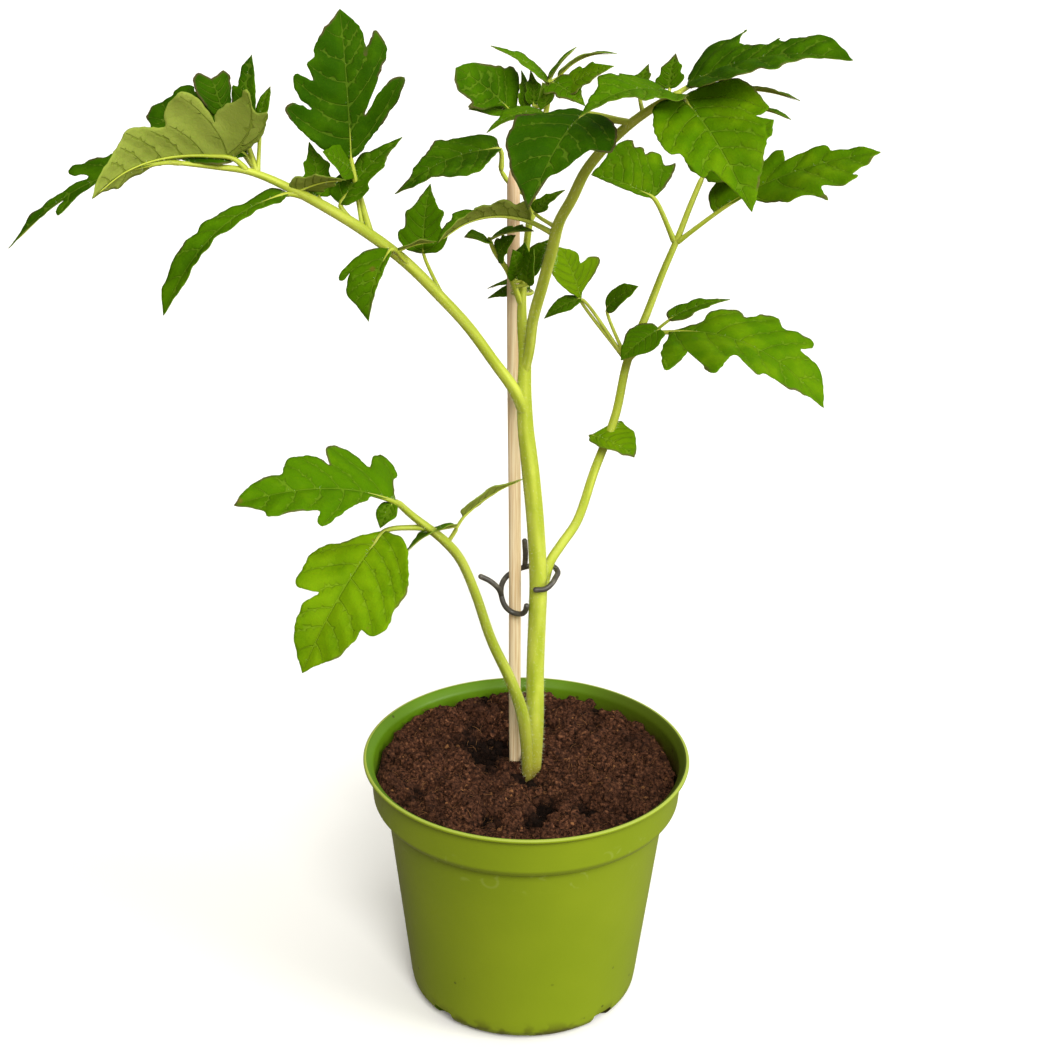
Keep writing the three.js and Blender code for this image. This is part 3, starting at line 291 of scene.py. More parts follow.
class Form:
    """Corner points in millimetres, faces and named corner values, gathered for one piece."""

    def __init__(self, *names):
        self.points = []
        self.faces = []
        self.slots = []
        self.values = {name: [] for name in names}
        self.size = 0

    def add(self, points, faces, slot=0, **values):
        self.points.append(points)
        self.faces += [tuple(corner + self.size for corner in face) for face in faces]
        self.slots += [slot] * len(faces)
        for name, gathered in self.values.items():
            gathered.append(np.broadcast_to(values.get(name, 0.0), len(points)))
        self.size += len(points)

    def piece(self, name, *materials):
        """The gathered form as a smooth-shaded object at the origin, in metres."""
        mesh = bpy.data.meshes.new(name)
        mesh.from_pydata((np.vstack(self.points) * MM).tolist(), [], self.faces)
        for material in materials:
            mesh.materials.append(material)
        mesh.polygons.foreach_set("material_index", self.slots)
        mesh.shade_smooth()
        for value_name, gathered in self.values.items():
            attribute = mesh.attributes.new(value_name, "FLOAT", "POINT")
            attribute.data.foreach_set("value", np.concatenate(gathered).astype(np.float32))
        return show(name, mesh)


def show(name, mesh):
    """An object for a mesh, linked to the scene."""
    thing = bpy.data.objects.new(name, mesh)
    bpy.context.scene.collection.objects.link(thing)
    return thing


def grid_faces(rows, columns, closed_columns=False):
    """Quads of a grid of points, row after row, that look along row direction x column direction."""
    wide = columns if closed_columns else columns - 1
    faces = []
    for row in range(rows - 1):
        for column in range(wide):
            a = row * columns + column
            b = row * columns + (column + 1) % columns
            faces.append((a, b, b + columns, a + columns))
    return faces


def tube(path, radii, sides, grooves=0, groove_depth=0.0):
    """Points and faces of a closed tube round a path, with lengthwise grooves if asked for."""
    ahead = np.gradient(path, axis=0)
    ahead /= np.linalg.norm(ahead, axis=1)[:, None]
    side_way = np.cross(ahead[0], ANY_WAY)
    angles = np.linspace(0, 2 * np.pi, sides, endpoint=False)
    girth = 1 - groove_depth * (0.5 + 0.5 * np.cos(grooves * angles)) if grooves else np.ones(sides)
    last = len(path) - 1
    rings = []
    for step, (centre, way) in enumerate(zip(path, ahead)):
        side_way = side_way - way * side_way.dot(way)
        side_way /= np.linalg.norm(side_way)
        other_way = np.cross(way, side_way)
        radius = radii[step] * (END_TAPER if step in (0, last) else 1)
        rings.append(centre + radius * girth[:, None] * (
            np.cos(angles)[:, None] * side_way + np.sin(angles)[:, None] * other_way))
    points = np.vstack(rings)
    faces = grid_faces(len(path), sides, closed_columns=True)
    faces.append(tuple(reversed(range(sides))))
    faces.append(tuple(last * sides + side for side in range(sides)))
    return points, faces


# ---------- leaflets ----------

OUTLINES = {
    "broad": [(0, 0), (-0.04, 0.4), (0.06, 0.78), (0.22, 0.95), (0.42, 0.96), (0.56, 1),
              (0.6, 0.88), (0.58, 0.58), (0.7, 0.6), (0.84, 0.45), (1, 0)],
    "narrow": [(0, 0), (0.04, 0.5), (0.14, 0.86), (0.18, 0.56), (0.34, 0.96), (0.42, 0.98),
               (0.45, 0.7), (0.66, 0.84), (0.7, 0.58), (0.88, 0.36), (1, 0)],
    "toothed": [(0, 0), (0.02, 0.6), (0.28, 1), (0.36, 0.74), (0.58, 0.8), (0.64, 0.54), (1, 0)],
    "oval": [(0, 0), (0.08, 0.7), (0.4, 1), (0.7, 0.7), (1, 0)],
    "deep": [(0, 0), (0.05, 0.38), (0.16, 0.7), (0.35, 1), (0.39, 0.9), (0.34, 0.58), (0.43, 0.77),
             (0.54, 0.86), (0.58, 0.78), (0.53, 0.54), (0.64, 0.61), (0.69, 0.49), (0.76, 0.47),
             (0.87, 0.29), (1, 0)],
    "cut": [(0, 0), (0.02, 0.14), (0.12, 0.36), (0.27, 0.68), (0.38, 0.92), (0.51, 1), (0.49, 0.72),
            (0.39, 0.48), (0.28, 0.28), (0.42, 0.44), (0.58, 0.64), (0.72, 0.76), (0.84, 0.58),
            (0.76, 0.44), (0.68, 0.36), (0.8, 0.38), (0.89, 0.28), (1, 0)],
    "end_high": [(0, 0), (-0.03, 0.42), (-0.08, 0.6), (-0.07, 0.9), (-0.02, 1), (0.05, 0.92),
                 (0.13, 0.6), (0.18, 0.78), (0.25, 0.92), (0.35, 0.95), (0.4, 0.78), (0.41, 0.49),
                 (0.47, 0.6), (0.57, 0.65), (0.67, 0.58), (0.71, 0.34), (0.83, 0.32),
                 (0.94, 0.17), (1, 0)],
    "end_low": [(0, 0), (0.12, 0.05), (0.18, 0.1), (0.27, 0.32), (0.42, 0.6), (0.55, 0.9),
                (0.61, 1), (0.62, 0.84), (0.59, 0.63), (0.66, 0.6), (0.77, 0.6), (0.88, 0.59),
                (0.89, 0.38), (0.96, 0.13), (1, 0)],
    "hanging_inner": [(0, 0), (0, 0.36), (0.13, 0.73), (0.2, 0.86), (0.32, 1), (0.44, 0.97),
                      (0.52, 1), (0.59, 0.98), (0.64, 0.8), (0.63, 0.64), (0.7, 0.62),
                      (0.81, 0.5), (0.92, 0.22), (1, 0)],
    "hanging_outer": [(0, 0), (0.08, 0.26), (0.2, 0.6), (0.28, 0.9), (0.35, 1), (0.5, 0.96),
                      (0.57, 0.88), (0.57, 0.6), (0.55, 0.4), (0.64, 0.55), (0.72, 0.58),
                      (0.84, 0.44), (0.93, 0.24), (1, 0)],
    "arched_high": [(0, 0), (-0.08, 0.2), (-0.15, 0.42), (-0.19, 0.9), (-0.14, 0.8), (-0.1, 1.15),
                    (-0.06, 0.92), (0.01, 0.8), (0.06, 0.6), (0.07, 0.5), (0.12, 0.76),
                    (0.18, 0.92), (0.27, 1), (0.34, 0.84), (0.38, 0.68), (0.38, 0.5),
                    (0.51, 0.56), (0.65, 0.58), (0.69, 0.46), (0.8, 0.31), (0.93, 0.16), (1, 0)],
    "arched_low": [(0, 0), (0.18, 0.15), (0.39, 0.55), (0.6, 0.9), (0.76, 1), (0.87, 0.5), (1, 0)],
    "drawn_high": [(0, 0), (0.02, 1), (0.08, 0.9), (0.18, 0.63), (0.31, 0.67), (0.42, 0.87),
                   (0.52, 0.83), (0.6, 0.8), (0.71, 0.91), (0.79, 0.8), (0.9, 0.6), (1, 0)],
    "drawn_low": [(0, 0), (0.1, 0.84), (0.22, 0.7), (0.35, 0.68), (0.44, 0.82), (0.53, 0.4),
                  (0.6, 0.72), (0.71, 0.64), (0.81, 0.86), (0.9, 0.5), (1, 0)],
    "wide_high": [(0, 0), (0.1, 0.12), (0.15, 0.24), (0.16, 0.46), (0.22, 0.6), (0.32, 0.75),
                  (0.35, 0.65), (0.44, 0.92), (0.52, 1), (0.57, 0.82), (0.66, 0.84), (0.78, 0.92),
                  (0.78, 0.8), (0.73, 0.54), (0.8, 0.56), (0.87, 0.53), (0.92, 0.38), (1, 0)],
    "wide_low": [(0, 0), (0.02, 0.2), (0.03, 0.5), (0.08, 0.82), (0.13, 1), (0.17, 0.82),
                 (0.18, 0.6), (0.16, 0.34), (0.17, 0.24), (0.22, 0.44), (0.28, 0.7),
                 (0.33, 0.94), (0.38, 1), (0.41, 0.82), (0.42, 0.47), (0.5, 0.54), (0.59, 0.6),
                 (0.63, 0.46), (0.73, 0.35), (0.85, 0.19), (1, 0)],
    "drooping_outer": [(0, 0), (0.04, 0.6), (0.1, 0.84), (0.19, 0.93), (0.3, 0.97), (0.39, 0.98),
                       (0.43, 0.84), (0.43, 0.71), (0.51, 0.74), (0.6, 0.69), (0.66, 0.62),
                       (0.76, 0.45), (0.84, 0.32), (0.92, 0.18), (1, 0)],
    "drooping_inner": [(0, 0), (0.02, 0.58), (0.12, 0.78), (0.22, 0.9), (0.34, 1), (0.49, 0.94),
                       (0.5, 0.78), (0.57, 0.74), (0.66, 0.68), (0.7, 0.56), (0.68, 0.4),
                       (0.76, 0.27), (0.89, 0.1), (1, 0)],
    "front_inner": [(0, 0), (0.06, 0.5), (0.18, 0.79), (0.3, 0.95), (0.38, 1), (0.45, 0.98),
                    (0.48, 0.62), (0.56, 0.52), (0.69, 0.36), (0.76, 0.16), (0.89, 0.06), (1, 0)],
    "front_outer": [(0, 0), (0.06, 0.28), (0.13, 0.45), (0.27, 0.71), (0.39, 1), (0.5, 1),
                    (0.6, 0.98), (0.68, 0.96), (0.79, 0.71), (0.91, 0.32), (1, 0)],
    "reaching_high": [(0, 0), (-0.02, 0.6), (0.06, 0.95), (0.2, 0.9), (0.34, 0.88), (0.37, 1),
                      (0.46, 0.92), (0.48, 0.53), (0.58, 0.49), (0.71, 0.47), (0.75, 0.26),
                      (0.82, 0.24), (0.89, 0.28), (1, 0)],
    "reaching_low": [(0, 0), (0.15, 0.05), (0.25, 0.2), (0.33, 0.5), (0.43, 0.82), (0.52, 1.05),
                     (0.64, 1.03), (0.73, 1.24), (0.7, 0.86), (0.8, 0.9), (0.89, 0.7),
                     (0.86, 0.61), (0.94, 0.34), (0.97, 0.08), (1, 0)],
    "top_high": [(0, 0), (-0.06, 0.5), (-0.05, 1.02), (0.05, 0.98), (0.15, 0.91), (0.24, 0.88),
                 (0.25, 1.15), (0.28, 0.6), (0.4, 0.4), (0.5, 0.35), (0.54, 0.48), (0.56, 0.34),
                 (0.68, 0.38), (0.73, 0.46), (0.81, 0.45), (0.9, 0.31), (1, 0)],
    "top_low": [(0, 0), (0.1, 0.6), (0.25, 0.95), (0.4, 1), (0.5, 1), (0.54, 0.8), (0.64, 0.8),
                (0.69, 0.42), (0.78, 0.22), (0.82, 0.12), (0.92, 0.1), (1, 0)],
    "notched": [(0, 0), (-0.04, 0.3), (-0.02, 0.65), (0.06, 0.95), (0.15, 0.8), (0.29, 0.95),
                (0.4, 0.92), (0.46, 0.78), (0.53, 0.87), (0.66, 0.86), (0.81, 1.04),
                (0.93, 0.98), (0.97, 0.7), (0.98, 0.3), (1, 0)],
    "blunt": [(0, 0), (0.2, 0.5), (0.41, 0.82), (0.64, 1), (0.85, 0.72), (0.97, 0.2), (1, 0)],
    "bitten": [(0, 0), (0.18, 0.2), (0.25, 0.5), (0.39, 0.88), (0.55, 1), (0.64, 0.62),
               (0.6, 0.37), (0.8, 0.44), (0.92, 0.18), (1, 0)],
    "hooked": [(0, 0), (0.13, 0.15), (0.25, 0.38), (0.28, 0.8), (0.41, 1), (0.57, 0.85),
               (0.74, 0.74), (0.93, 0.36), (1, 0)],
    "ridged": [(0, 0), (0.1, 0.5), (0.3, 0.75), (0.5, 0.85), (0.66, 0.84), (0.74, 0.88),
               (0.82, 1), (0.9, 0.94), (0.93, 0.82), (0.92, 0.62), (0.99, 0.3), (1, 0)],
    "twin_left": [(0, 0), (0.2, 0.3), (0.5, 0.75), (0.82, 1), (1.05, 0.9), (1.18, 0.55),
                  (1.08, 0.25), (1, 0)],
    "twin_right": [(0, 0), (0.25, 0.35), (0.55, 0.7), (0.78, 0.95), (0.98, 1), (1.12, 0.8),
                   (1.05, 0.4), (1, 0)],
    "forked_high": [(0, 0), (0.08, 0.6), (0.2, 0.9), (0.3, 0.9), (0.41, 1), (0.48, 1), (0.51, 0.86),
                    (0.49, 0.56), (0.43, 0.4), (0.42, 0.26), (0.53, 0.22), (0.73, 0.24),
                    (0.82, 0.24), (0.88, 0.1), (1, 0)],
    "forked_low": [(0, 0), (0.15, 0.1), (0.38, 0.1), (0.46, 0.35), (0.54, 0.66), (0.61, 0.95),
                   (0.67, 1.05), (0.67, 0.8), (0.63, 0.4), (0.6, 0.14), (0.67, 0.1), (0.74, 0.2),
                   (0.8, 0.17), (0.87, 0.08), (1, 0)],
    "sloping_high": [(0, 0), (-0.03, 0.5), (0.05, 0.82), (0.2, 0.86), (0.31, 0.95), (0.4, 1.1),
                     (0.48, 0.98), (0.57, 0.68), (0.66, 0.5), (0.74, 0.38), (0.84, 0.14), (1, 0)],
    "sloping_low": [(0, 0), (0.07, 0.44), (0.21, 0.73), (0.35, 0.98), (0.49, 1), (0.61, 0.86),
                    (0.7, 0.52), (0.78, 0.42), (0.88, 0.28), (1, 0)],
    "fan_high": [(0, 0), (0.05, 0.4), (0.1, 0.8), (0.18, 1.08), (0.28, 1.08), (0.41, 0.88),
                 (0.5, 0.72), (0.6, 0.64), (0.7, 0.56), (0.86, 0.35), (0.96, 0.12), (1, 0)],
    "fan_low": [(0, 0), (0.15, 0.06), (0.27, 0.12), (0.42, 0.5), (0.6, 0.85), (0.76, 1.03),
                (0.73, 0.78), (0.8, 0.74), (0.9, 0.64), (0.97, 0.4), (1, 0)],
    "scooped": [(0, 0), (0.05, 0.4), (0.19, 0.7), (0.4, 0.9), (0.57, 1), (0.56, 0.85),
                (0.45, 0.72), (0.73, 0.7), (0.82, 0.45), (1, 0)],
}

BLADE_MIDDLE = 0.5  # thickness near the midrib
BLADE_EDGE = 0.3
THIN_MARGIN = 4  # the width over which a blade thins towards its edge
FOLD_EASE = 0.25  # how much a folded half flattens towards its edge
EDGE_WAVE = 0.06  # how far the edge waves, as a share of its distance from the midrib
WAVE_TURNS = 9
WAVE_STARTS = (1, 3)  # where in their waves the left and right edges begin
EDGE_STEP = 0.9
BIG_NIBBLE, BIG_NIBBLE_SIZE = 0.5, 4.5  # depth and size of the teeth along the edge
SMALL_NIBBLE, SMALL_NIBBLE_SIZE = 0.45, 1.9
WHOLE_EDGE = 3  # the edge has full teeth this far from the midrib
GRID_STEP = 1.15
SMALL_GRID_STEP = 0.8
ROW_STEP = 0.87  # rows of even triangles, in their sides
GRID_CLEARANCE = 0.45  # free space round edge and veins, in grid steps
PILLOW_HEIGHT = 0.75  # how far the blade rises between its veins
PILLOW_SLOPE = 2.2
FULL_PILLOW_LENGTH = 40  # a shorter leaflet's pillows are lower
BIG_WARP, BIG_WARP_SIZE, BIG_WARP_EASE = 0.035, 0.45, 8  # depth and size as shares of the length
SMALL_WARP, SMALL_WARP_SIZE, SMALL_WARP_EASE = 0.3, 4, 3
MIDRIB_REACH = 0.97
MIDRIB_STEPS = 24
MIDRIB_WIDTHS = (0.5, 0.14)  # half widths at its two ends
SIDE_VEIN_WIDTHS = (0.26, 0.1)
BRANCH_WIDTHS = (0.14, 0.07)
VEIN_LEAN = 0.8  # how much side veins lean to the tip
OWN_LEANS = {"cut": 1.35, "deep": 0.5}
VEIN_BEND = 0.5
VEIN_STEPS = 9
FIRST_VEIN, LAST_VEIN = 0.03, 0.96  # places on the midrib
LOBE_REACH = 0.95
WIDEST_VEIN_GAP = 0.17  # as a share of the blade's length
VEIN_CLEARANCE = 1.2
PROBE_STEP = 0.5  # how finely a vein's way is searched for walls
PROBE_FREE = 2  # the first part of it, where walls don't count
BRANCH_PLACES = (0.25, 0.45, 0.62, 0.8)
BRANCH_TURN = 52
BRANCH_CLEARANCE = 1
BRANCH_STEPS = 5
LONGEST_BRANCH = (3, 0.4)  # a length, and a share of the side vein's rest
SHORTEST_BRANCHED = 7
FAINT_BRANCH = 1.1  # added to a branch's distance, which makes it fainter
BLADE_SLOT = 0
STALK_SLOT = 1


def unit(vector):
    """The same direction, one long."""
    return vector / np.linalg.norm(vector)


def blade_axes(part):
    """A blade's base, the ways along its midrib, out of its face and to its left, and its length."""
    base = np.array(part["base"], float)
    along = np.array(part["tip"], float) - base
    length = np.linalg.norm(along)
    along = along / length
    front = unit(FRONT - along * FRONT.dot(along))
    upward = np.cross(along, front)
    upward = -upward if upward[2] < 0 else upward
    tilt = math.radians(part["tilt"])
    face = front * math.cos(tilt) + upward * math.sin(tilt)
    return base, along, face, np.cross(face, along), length


def blade_height(part, length, u, v):
    """How far the blade's middle surface stands out from the plane of its base and tip."""
    half = max(part["half"])
    fold = math.tan(math.radians(part["fold"])) * np.abs(v) * (1 - FOLD_EASE * np.abs(v) / half)
    wave = EDGE_WAVE * np.abs(v) * np.sin(WAVE_TURNS * u + np.where(v > 0, *WAVE_STARTS))
    return part["bow"] * length * 4 * u * (1 - u) + fold + wave


def blade_point(part, u):
    """A point of the midrib."""
    base, along, face, _, length = blade_axes(part)
    return base + along * u * length + face * blade_height(part, length, u, 0.0)


def nearest(points, line):
    """Distance from each point to a line of short spans, and the share of the line's length there."""
    starts, spans = line[:-1], np.diff(line, axis=0)
    shares = ((points[:, None] - starts) * spans).sum(axis=2) / (spans ** 2).sum(axis=1)
    shares = np.clip(shares, 0, 1)
    gaps = np.linalg.norm(points[:, None] - starts - shares[..., None] * spans, axis=2)
    best = gaps.argmin(axis=1)
    each = np.arange(len(points))
    return gaps[each, best], (best + shares[each, best]) / len(spans)


def is_inside(points, loop):
    """Which points lie inside a closed loop: those whose way out crosses it an odd number of times."""
    here, there = loop, np.roll(loop, -1, axis=0)
    rise = there[:, 1] - here[:, 1]
    rise = np.where(rise == 0, 1e-9, rise)
    spans = (here[:, 1] > points[:, None, 1]) != (there[:, 1] > points[:, None, 1])
    crossing = here[:, 0] + (points[:, None, 1] - here[:, 1]) / rise * (there[:, 0] - here[:, 0])
    return (spans & (points[:, None, 0] < crossing)).sum(axis=1) % 2 == 1


def blade_margin(part, length, seed):
    """The blade's edge on its flat plane, from the base up the left side and down the right."""
    sides = []
    for shape, half in ((part["left"], part["half"][0]), (part["right"], -part["half"][1])):
        path = smooth_path(np.array(OUTLINES[shape]) * (length, half))
        steps = max(8, int(lengths_along(path)[-1] / EDGE_STEP))
        sides.append(points_at(path, np.linspace(0, 1, steps + 1)))
    loop = np.vstack([sides[0][:-1], sides[1][:0:-1]])
    way = np.roll(loop, -1, axis=0) - np.roll(loop, 1, axis=0)
    outward = np.stack([way[:, 1], -way[:, 0]], axis=1) / np.linalg.norm(way, axis=1)[:, None]
    spots = np.column_stack([loop, np.zeros(len(loop))])
    nibble = (BIG_NIBBLE * rough(spots, BIG_NIBBLE_SIZE, seed)
              + SMALL_NIBBLE * rough(spots, SMALL_NIBBLE_SIZE, seed + 5))
    from_ends = np.minimum(1, np.abs(loop[:, 1]) / WHOLE_EDGE)
    return loop - outward * (nibble * from_ends)[:, None]


def reach(start, way, walls, clearance, longest):
    """How far a vein can go from a point before it comes near the margin or another vein."""
    steps = np.arange(1.0, longest, PROBE_STEP)
    spots = start + steps[:, None] * way
    gaps = np.min([nearest(spots, wall)[0] for wall in walls], axis=0)
    blocked = np.flatnonzero((gaps < clearance) & (steps > PROBE_FREE))
    return steps[blocked[0]] if len(blocked) else longest


def side_veins(shape, length, half, sign, margin):
    """Veins that run from the midrib to the lobes of one side, and others where those leave room."""
    corners = np.array(OUTLINES[shape]) * (length, half)
    lean = OWN_LEANS.get(shape, VEIN_LEAN)
    ends = [corner for before, corner, after in zip(corners, corners[1:], corners[2:])
            if corner[1] > before[1] and corner[1] >= after[1]]
    lobes = [(max(x - lean * y, FIRST_VEIN * length), x, LOBE_REACH * y) for x, y in ends]
    roots = [0.0] + [lobe[0] for lobe in lobes] + [LAST_VEIN * length]
    for here, there in zip(roots, roots[1:]):
        count = int((there - here) / (WIDEST_VEIN_GAP * length))
        for part in range(1, count + 1):
            root = here + (there - here) * part / (count + 1)
            way = unit(np.array([lean, 1.0]))
            far = reach(np.array([root, 0.0]), way * (1, sign), [margin], VEIN_CLEARANCE, 2 * half)
            lobes.append((root, root + way[0] * far, way[1] * far))
    veins = []
    for root, x, y in lobes:
        share = np.linspace(0, 1, VEIN_STEPS)
        bend = VEIN_BEND * share * (1 - share) * y
        veins.append(np.stack([root + (x - root) * share - bend, sign * y * share], axis=1))
    return veins


def branch_veins(veins, margin):
    """Thin veins that leave the side veins to both hands."""
    branches = []
    for number, vein in enumerate(veins):
        long = lengths_along(vein)[-1]
        if long < SHORTEST_BRANCHED:
            continue
        for step, share in enumerate(BRANCH_PLACES):
            start, ahead = points_at(vein, [share, share + 0.05])
            hand = 1 if (step + number) % 2 else -1
            turn = math.radians(hand * BRANCH_TURN)
            way = unit(ahead - start) @ np.array([[math.cos(turn), math.sin(turn)],
                                                  [-math.sin(turn), math.cos(turn)]])
            walls = [margin] + [other for other in veins if other is not vein]
            longest = LONGEST_BRANCH[0] + LONGEST_BRANCH[1] * long * (1 - share)
            far = reach(start, way, walls, BRANCH_CLEARANCE, longest)
            branches.append(start + np.linspace(0, far, BRANCH_STEPS)[:, None] * way)
    return branches


def blade_grid(margin, veins, step):
    """Triangles that fill the margin and have the veins among their edges."""
    low, high = margin.min(axis=0), margin.max(axis=0)
    across, up = np.meshgrid(np.arange(low[0], high[0], step),
                             np.arange(low[1], high[1], ROW_STEP * step))
    across[1::2] += step / 2
    dots = np.column_stack([across.ravel(), up.ravel()])
    dots = dots[is_inside(dots, margin)]
    closed = np.vstack([margin, margin[:1]])
    for line in (closed, *veins):
        dots = dots[nearest(dots, line)[0] > GRID_CLEARANCE * step]
    corners = [margin]
    edges = []
    count = len(margin)
    for vein in veins:
        inner = vein[is_inside(vein, margin)]
        corners.append(inner)
        edges += [(count + i, count + i + 1) for i in range(len(inner) - 1)]
        count += len(inner)
    corners = np.vstack(corners + [dots])
    found = delaunay_2d_cdt([Vector(corner) for corner in corners], edges, [list(range(len(margin)))],
                            1, 1e-3)
    return np.array([tuple(corner) for corner in found[0]]), [tuple(face) for face in found[2]]


def closed_sheet(faces, count):
    """Adds the underside and the rim to the triangles of a blade's upper side."""
    seen = {(a, b) for face in faces for a, b in zip(face, face[1:] + face[:1])}
    rim = [(a, b) for a, b in seen if (b, a) not in seen]
    under = [tuple(corner + count for corner in reversed(face)) for face in faces]
    return faces + under + [(b, a, a + count, b + count) for a, b in sorted(rim)]


def add_blade(form, part, seed):
    """A thin closed blade that rises in pillows between its veins."""
    base, along, face, left, length = blade_axes(part)
    margin = blade_margin(part, length, seed)
    closed = np.vstack([margin, margin[:1]])
    midrib = np.stack([np.linspace(0, MIDRIB_REACH * length, MIDRIB_STEPS), np.zeros(MIDRIB_STEPS)],
                      axis=1)
    lobes = side_veins(part["left"], length, part["half"][0], 1, closed)
    lobes += side_veins(part["right"], length, part["half"][1], -1, closed)
    branches = [] if length < SMALL_LENGTH else branch_veins(lobes, closed)
    step = SMALL_GRID_STEP if length < SMALL_LENGTH else GRID_STEP
    flat, faces = blade_grid(margin, [midrib, *lobes, *branches], step)

    in_widths = []
    from_main = []
    for line, widths in ([(midrib, MIDRIB_WIDTHS)] + [(lobe, SIDE_VEIN_WIDTHS) for lobe in lobes]
                         + [(branch, BRANCH_WIDTHS) for branch in branches]):
        gap, share = nearest(flat, line)
        in_widths.append(gap / (widths[0] + (widths[1] - widths[0]) * share))
        if widths is BRANCH_WIDTHS:
            in_widths[-1] += FAINT_BRANCH
        else:
            from_main.append(gap)
    from_vein = np.min(from_main, axis=0)
    from_edge = nearest(flat, closed)[0]
    u, v = flat[:, 0] / length, flat[:, 1]
    spots = base + np.outer(flat[:, 0], along) + np.outer(v, left)
    pillow = PILLOW_HEIGHT * (1 - np.exp(-(from_vein / PILLOW_SLOPE) ** 2))
    height = blade_height(part, length, u, v) + pillow * min(1, length / FULL_PILLOW_LENGTH)
    for depth, size, ease, own_seed in (
            (BIG_WARP * length, BIG_WARP_SIZE * length, BIG_WARP_EASE, seed),
            (SMALL_WARP, SMALL_WARP_SIZE, SMALL_WARP_EASE, seed + 9)):
        height += depth * rough(spots, size, own_seed) * np.minimum(1, np.abs(v) / ease)
    middle = spots + np.outer(height, face)
    thickness = BLADE_EDGE + (BLADE_MIDDLE - BLADE_EDGE) * np.minimum(1, from_edge / THIN_MARGIN)
    lift = np.outer(thickness / 2, face)
    count = len(flat)
    form.add(np.vstack([middle + lift, middle - lift]), closed_sheet(faces, count), BLADE_SLOT,
             vein=np.tile(np.min(in_widths, axis=0), 2), rim=np.tile(from_edge, 2),
             hollow=np.tile(from_vein, 2), under=np.repeat([0.0, 1.0], count), tone=part["tone"])


# ---------- stalks ----------

STALK_RADIUS = 1
SMALL_STALK_RADIUS = 0.7
STALK_PLACES = (0, 0.3, 1)  # along a leaflet's small stalk up to its blade
MIDRIB_PLACES = (0.3, 1)  # along the midrib beyond
TAPER = (1.3, 1, 0.85, 0.5, 0.14)  # the radius at those places
MIDRIB_DROP = 0.3  # how deep the midrib's round back lies under the blade
MIDRIB_GUIDE = (0.12, 0.3, 0.5, 0.7, 0.93)
LAST_ROOT = 0.97
LEAF_STALK_SIDES = 14
SMALL_STALK_SIDES = 8
STALK_STEP = 2
SMALL_STALK_STEP = 1.5
STALK_GROOVES = (4, 0.12)  # how many, and their depth as a share of the radius
STREAK_SIZE = 0.7  # a streak's width in radii
STREAK_LENGTH = 25  # how much longer it is, in millimetres for each of its widths
LEAFLET_SEED_STEP = 7.3


def add_tube(form, path, radii, sides, slot, tone, grooves, groove_depth):
    """A grooved stalk with its tone and lengthwise streaks."""
    points, faces = tube(path, radii, sides, grooves, groove_depth)
    distance = np.repeat(lengths_along(path), sides)
    turn = np.tile(np.linspace(0, 2 * np.pi, sides, endpoint=False), len(path))
    unrolled = np.stack([np.cos(turn), np.sin(turn), distance / STREAK_LENGTH], axis=1)
    form.add(points, faces, slot, streak=rough(unrolled, STREAK_SIZE, float(path[0, 0])),
             tone=tone)


def even_steps(path, step):
    """The same line with its points about `step` millimetres apart."""
    count = max(4, int(lengths_along(path)[-1] / step))
    return points_at(path, np.linspace(0, 1, count + 1))


def leaflet_stalk(part, leaf_path):
    """The line and radii of a leaflet's small stalk, which goes on under the blade as its midrib."""
    _, _, face, _, length = blade_axes(part)
    start = points_at(leaf_path, [min(part["start"], LAST_ROOT)])[0]
    midrib = [blade_point(part, u) - MIDRIB_DROP * face for u in MIDRIB_GUIDE]
    path = smooth_path([start, *part["via"], np.array(part["base"]) - MIDRIB_DROP * face, *midrib])
    stalk_share = lengths_along(path)[(1 + len(part["via"])) * SPAN_STEPS] / lengths_along(path)[-1]
    places = [stalk_share * place for place in STALK_PLACES]
    places += [stalk_share + (1 - stalk_share) * place for place in MIDRIB_PLACES]
    path = even_steps(path, SMALL_STALK_STEP)
    thick = SMALL_STALK_RADIUS if length < SMALL_LENGTH else STALK_RADIUS
    return path, np.interp(np.linspace(0, 1, len(path)), places, np.array(TAPER) * thick)


def grow_leaf(leaf):
    """One compound leaf as a piece, and its stalks alone as a form for the hairs to stand on."""
    form = Form("vein", "rim", "hollow", "under", "tone", "streak")
    stalks = Form()
    leaf_path = smooth_path(leaf["stalk"])
    path = even_steps(leaf_path, STALK_STEP)
    radii = spread(leaf["radii"], np.linspace(0, 1, len(path)))
    tubes = [(path, radii, LEAF_STALK_SIDES)]
    tubes += [(*leaflet_stalk(part, leaf_path), SMALL_STALK_SIDES) for part in leaf["leaflets"]]
    for path, radii, sides in tubes:
        add_tube(form, path, radii, sides, STALK_SLOT, leaf["stalk_tone"], *STALK_GROOVES)
        stalks.add(*tube(path, radii, sides))
    for number, part in enumerate(leaf["leaflets"]):
        add_blade(form, part, LEAFLET_SEED_STEP * number + len(leaf["name"]))
    return form.piece(leaf["name"] + "_grown", LEAF_BLADE, STEM_SKIN), stalks


# ---------- materials ----------

RANGE = ("Value", "From Min", "From Max", "To Min", "To Max")
MIX = ("Factor", "A", "B")
SMOOTH = {"interpolation_type": "SMOOTHSTEP"}
COLOURS = {"data_type": "RGBA"}


def colour(hex_code):
    """A linear colour from an sRGB one such as "#a0b428"."""
    parts = [int(hex_code[i:i + 2], 16) / 255 for i in (1, 3, 5)]
    return (*(p / 12.92 if p <= 0.04045 else ((p + 0.055) / 1.055) ** 2.4 for p in parts), 1)


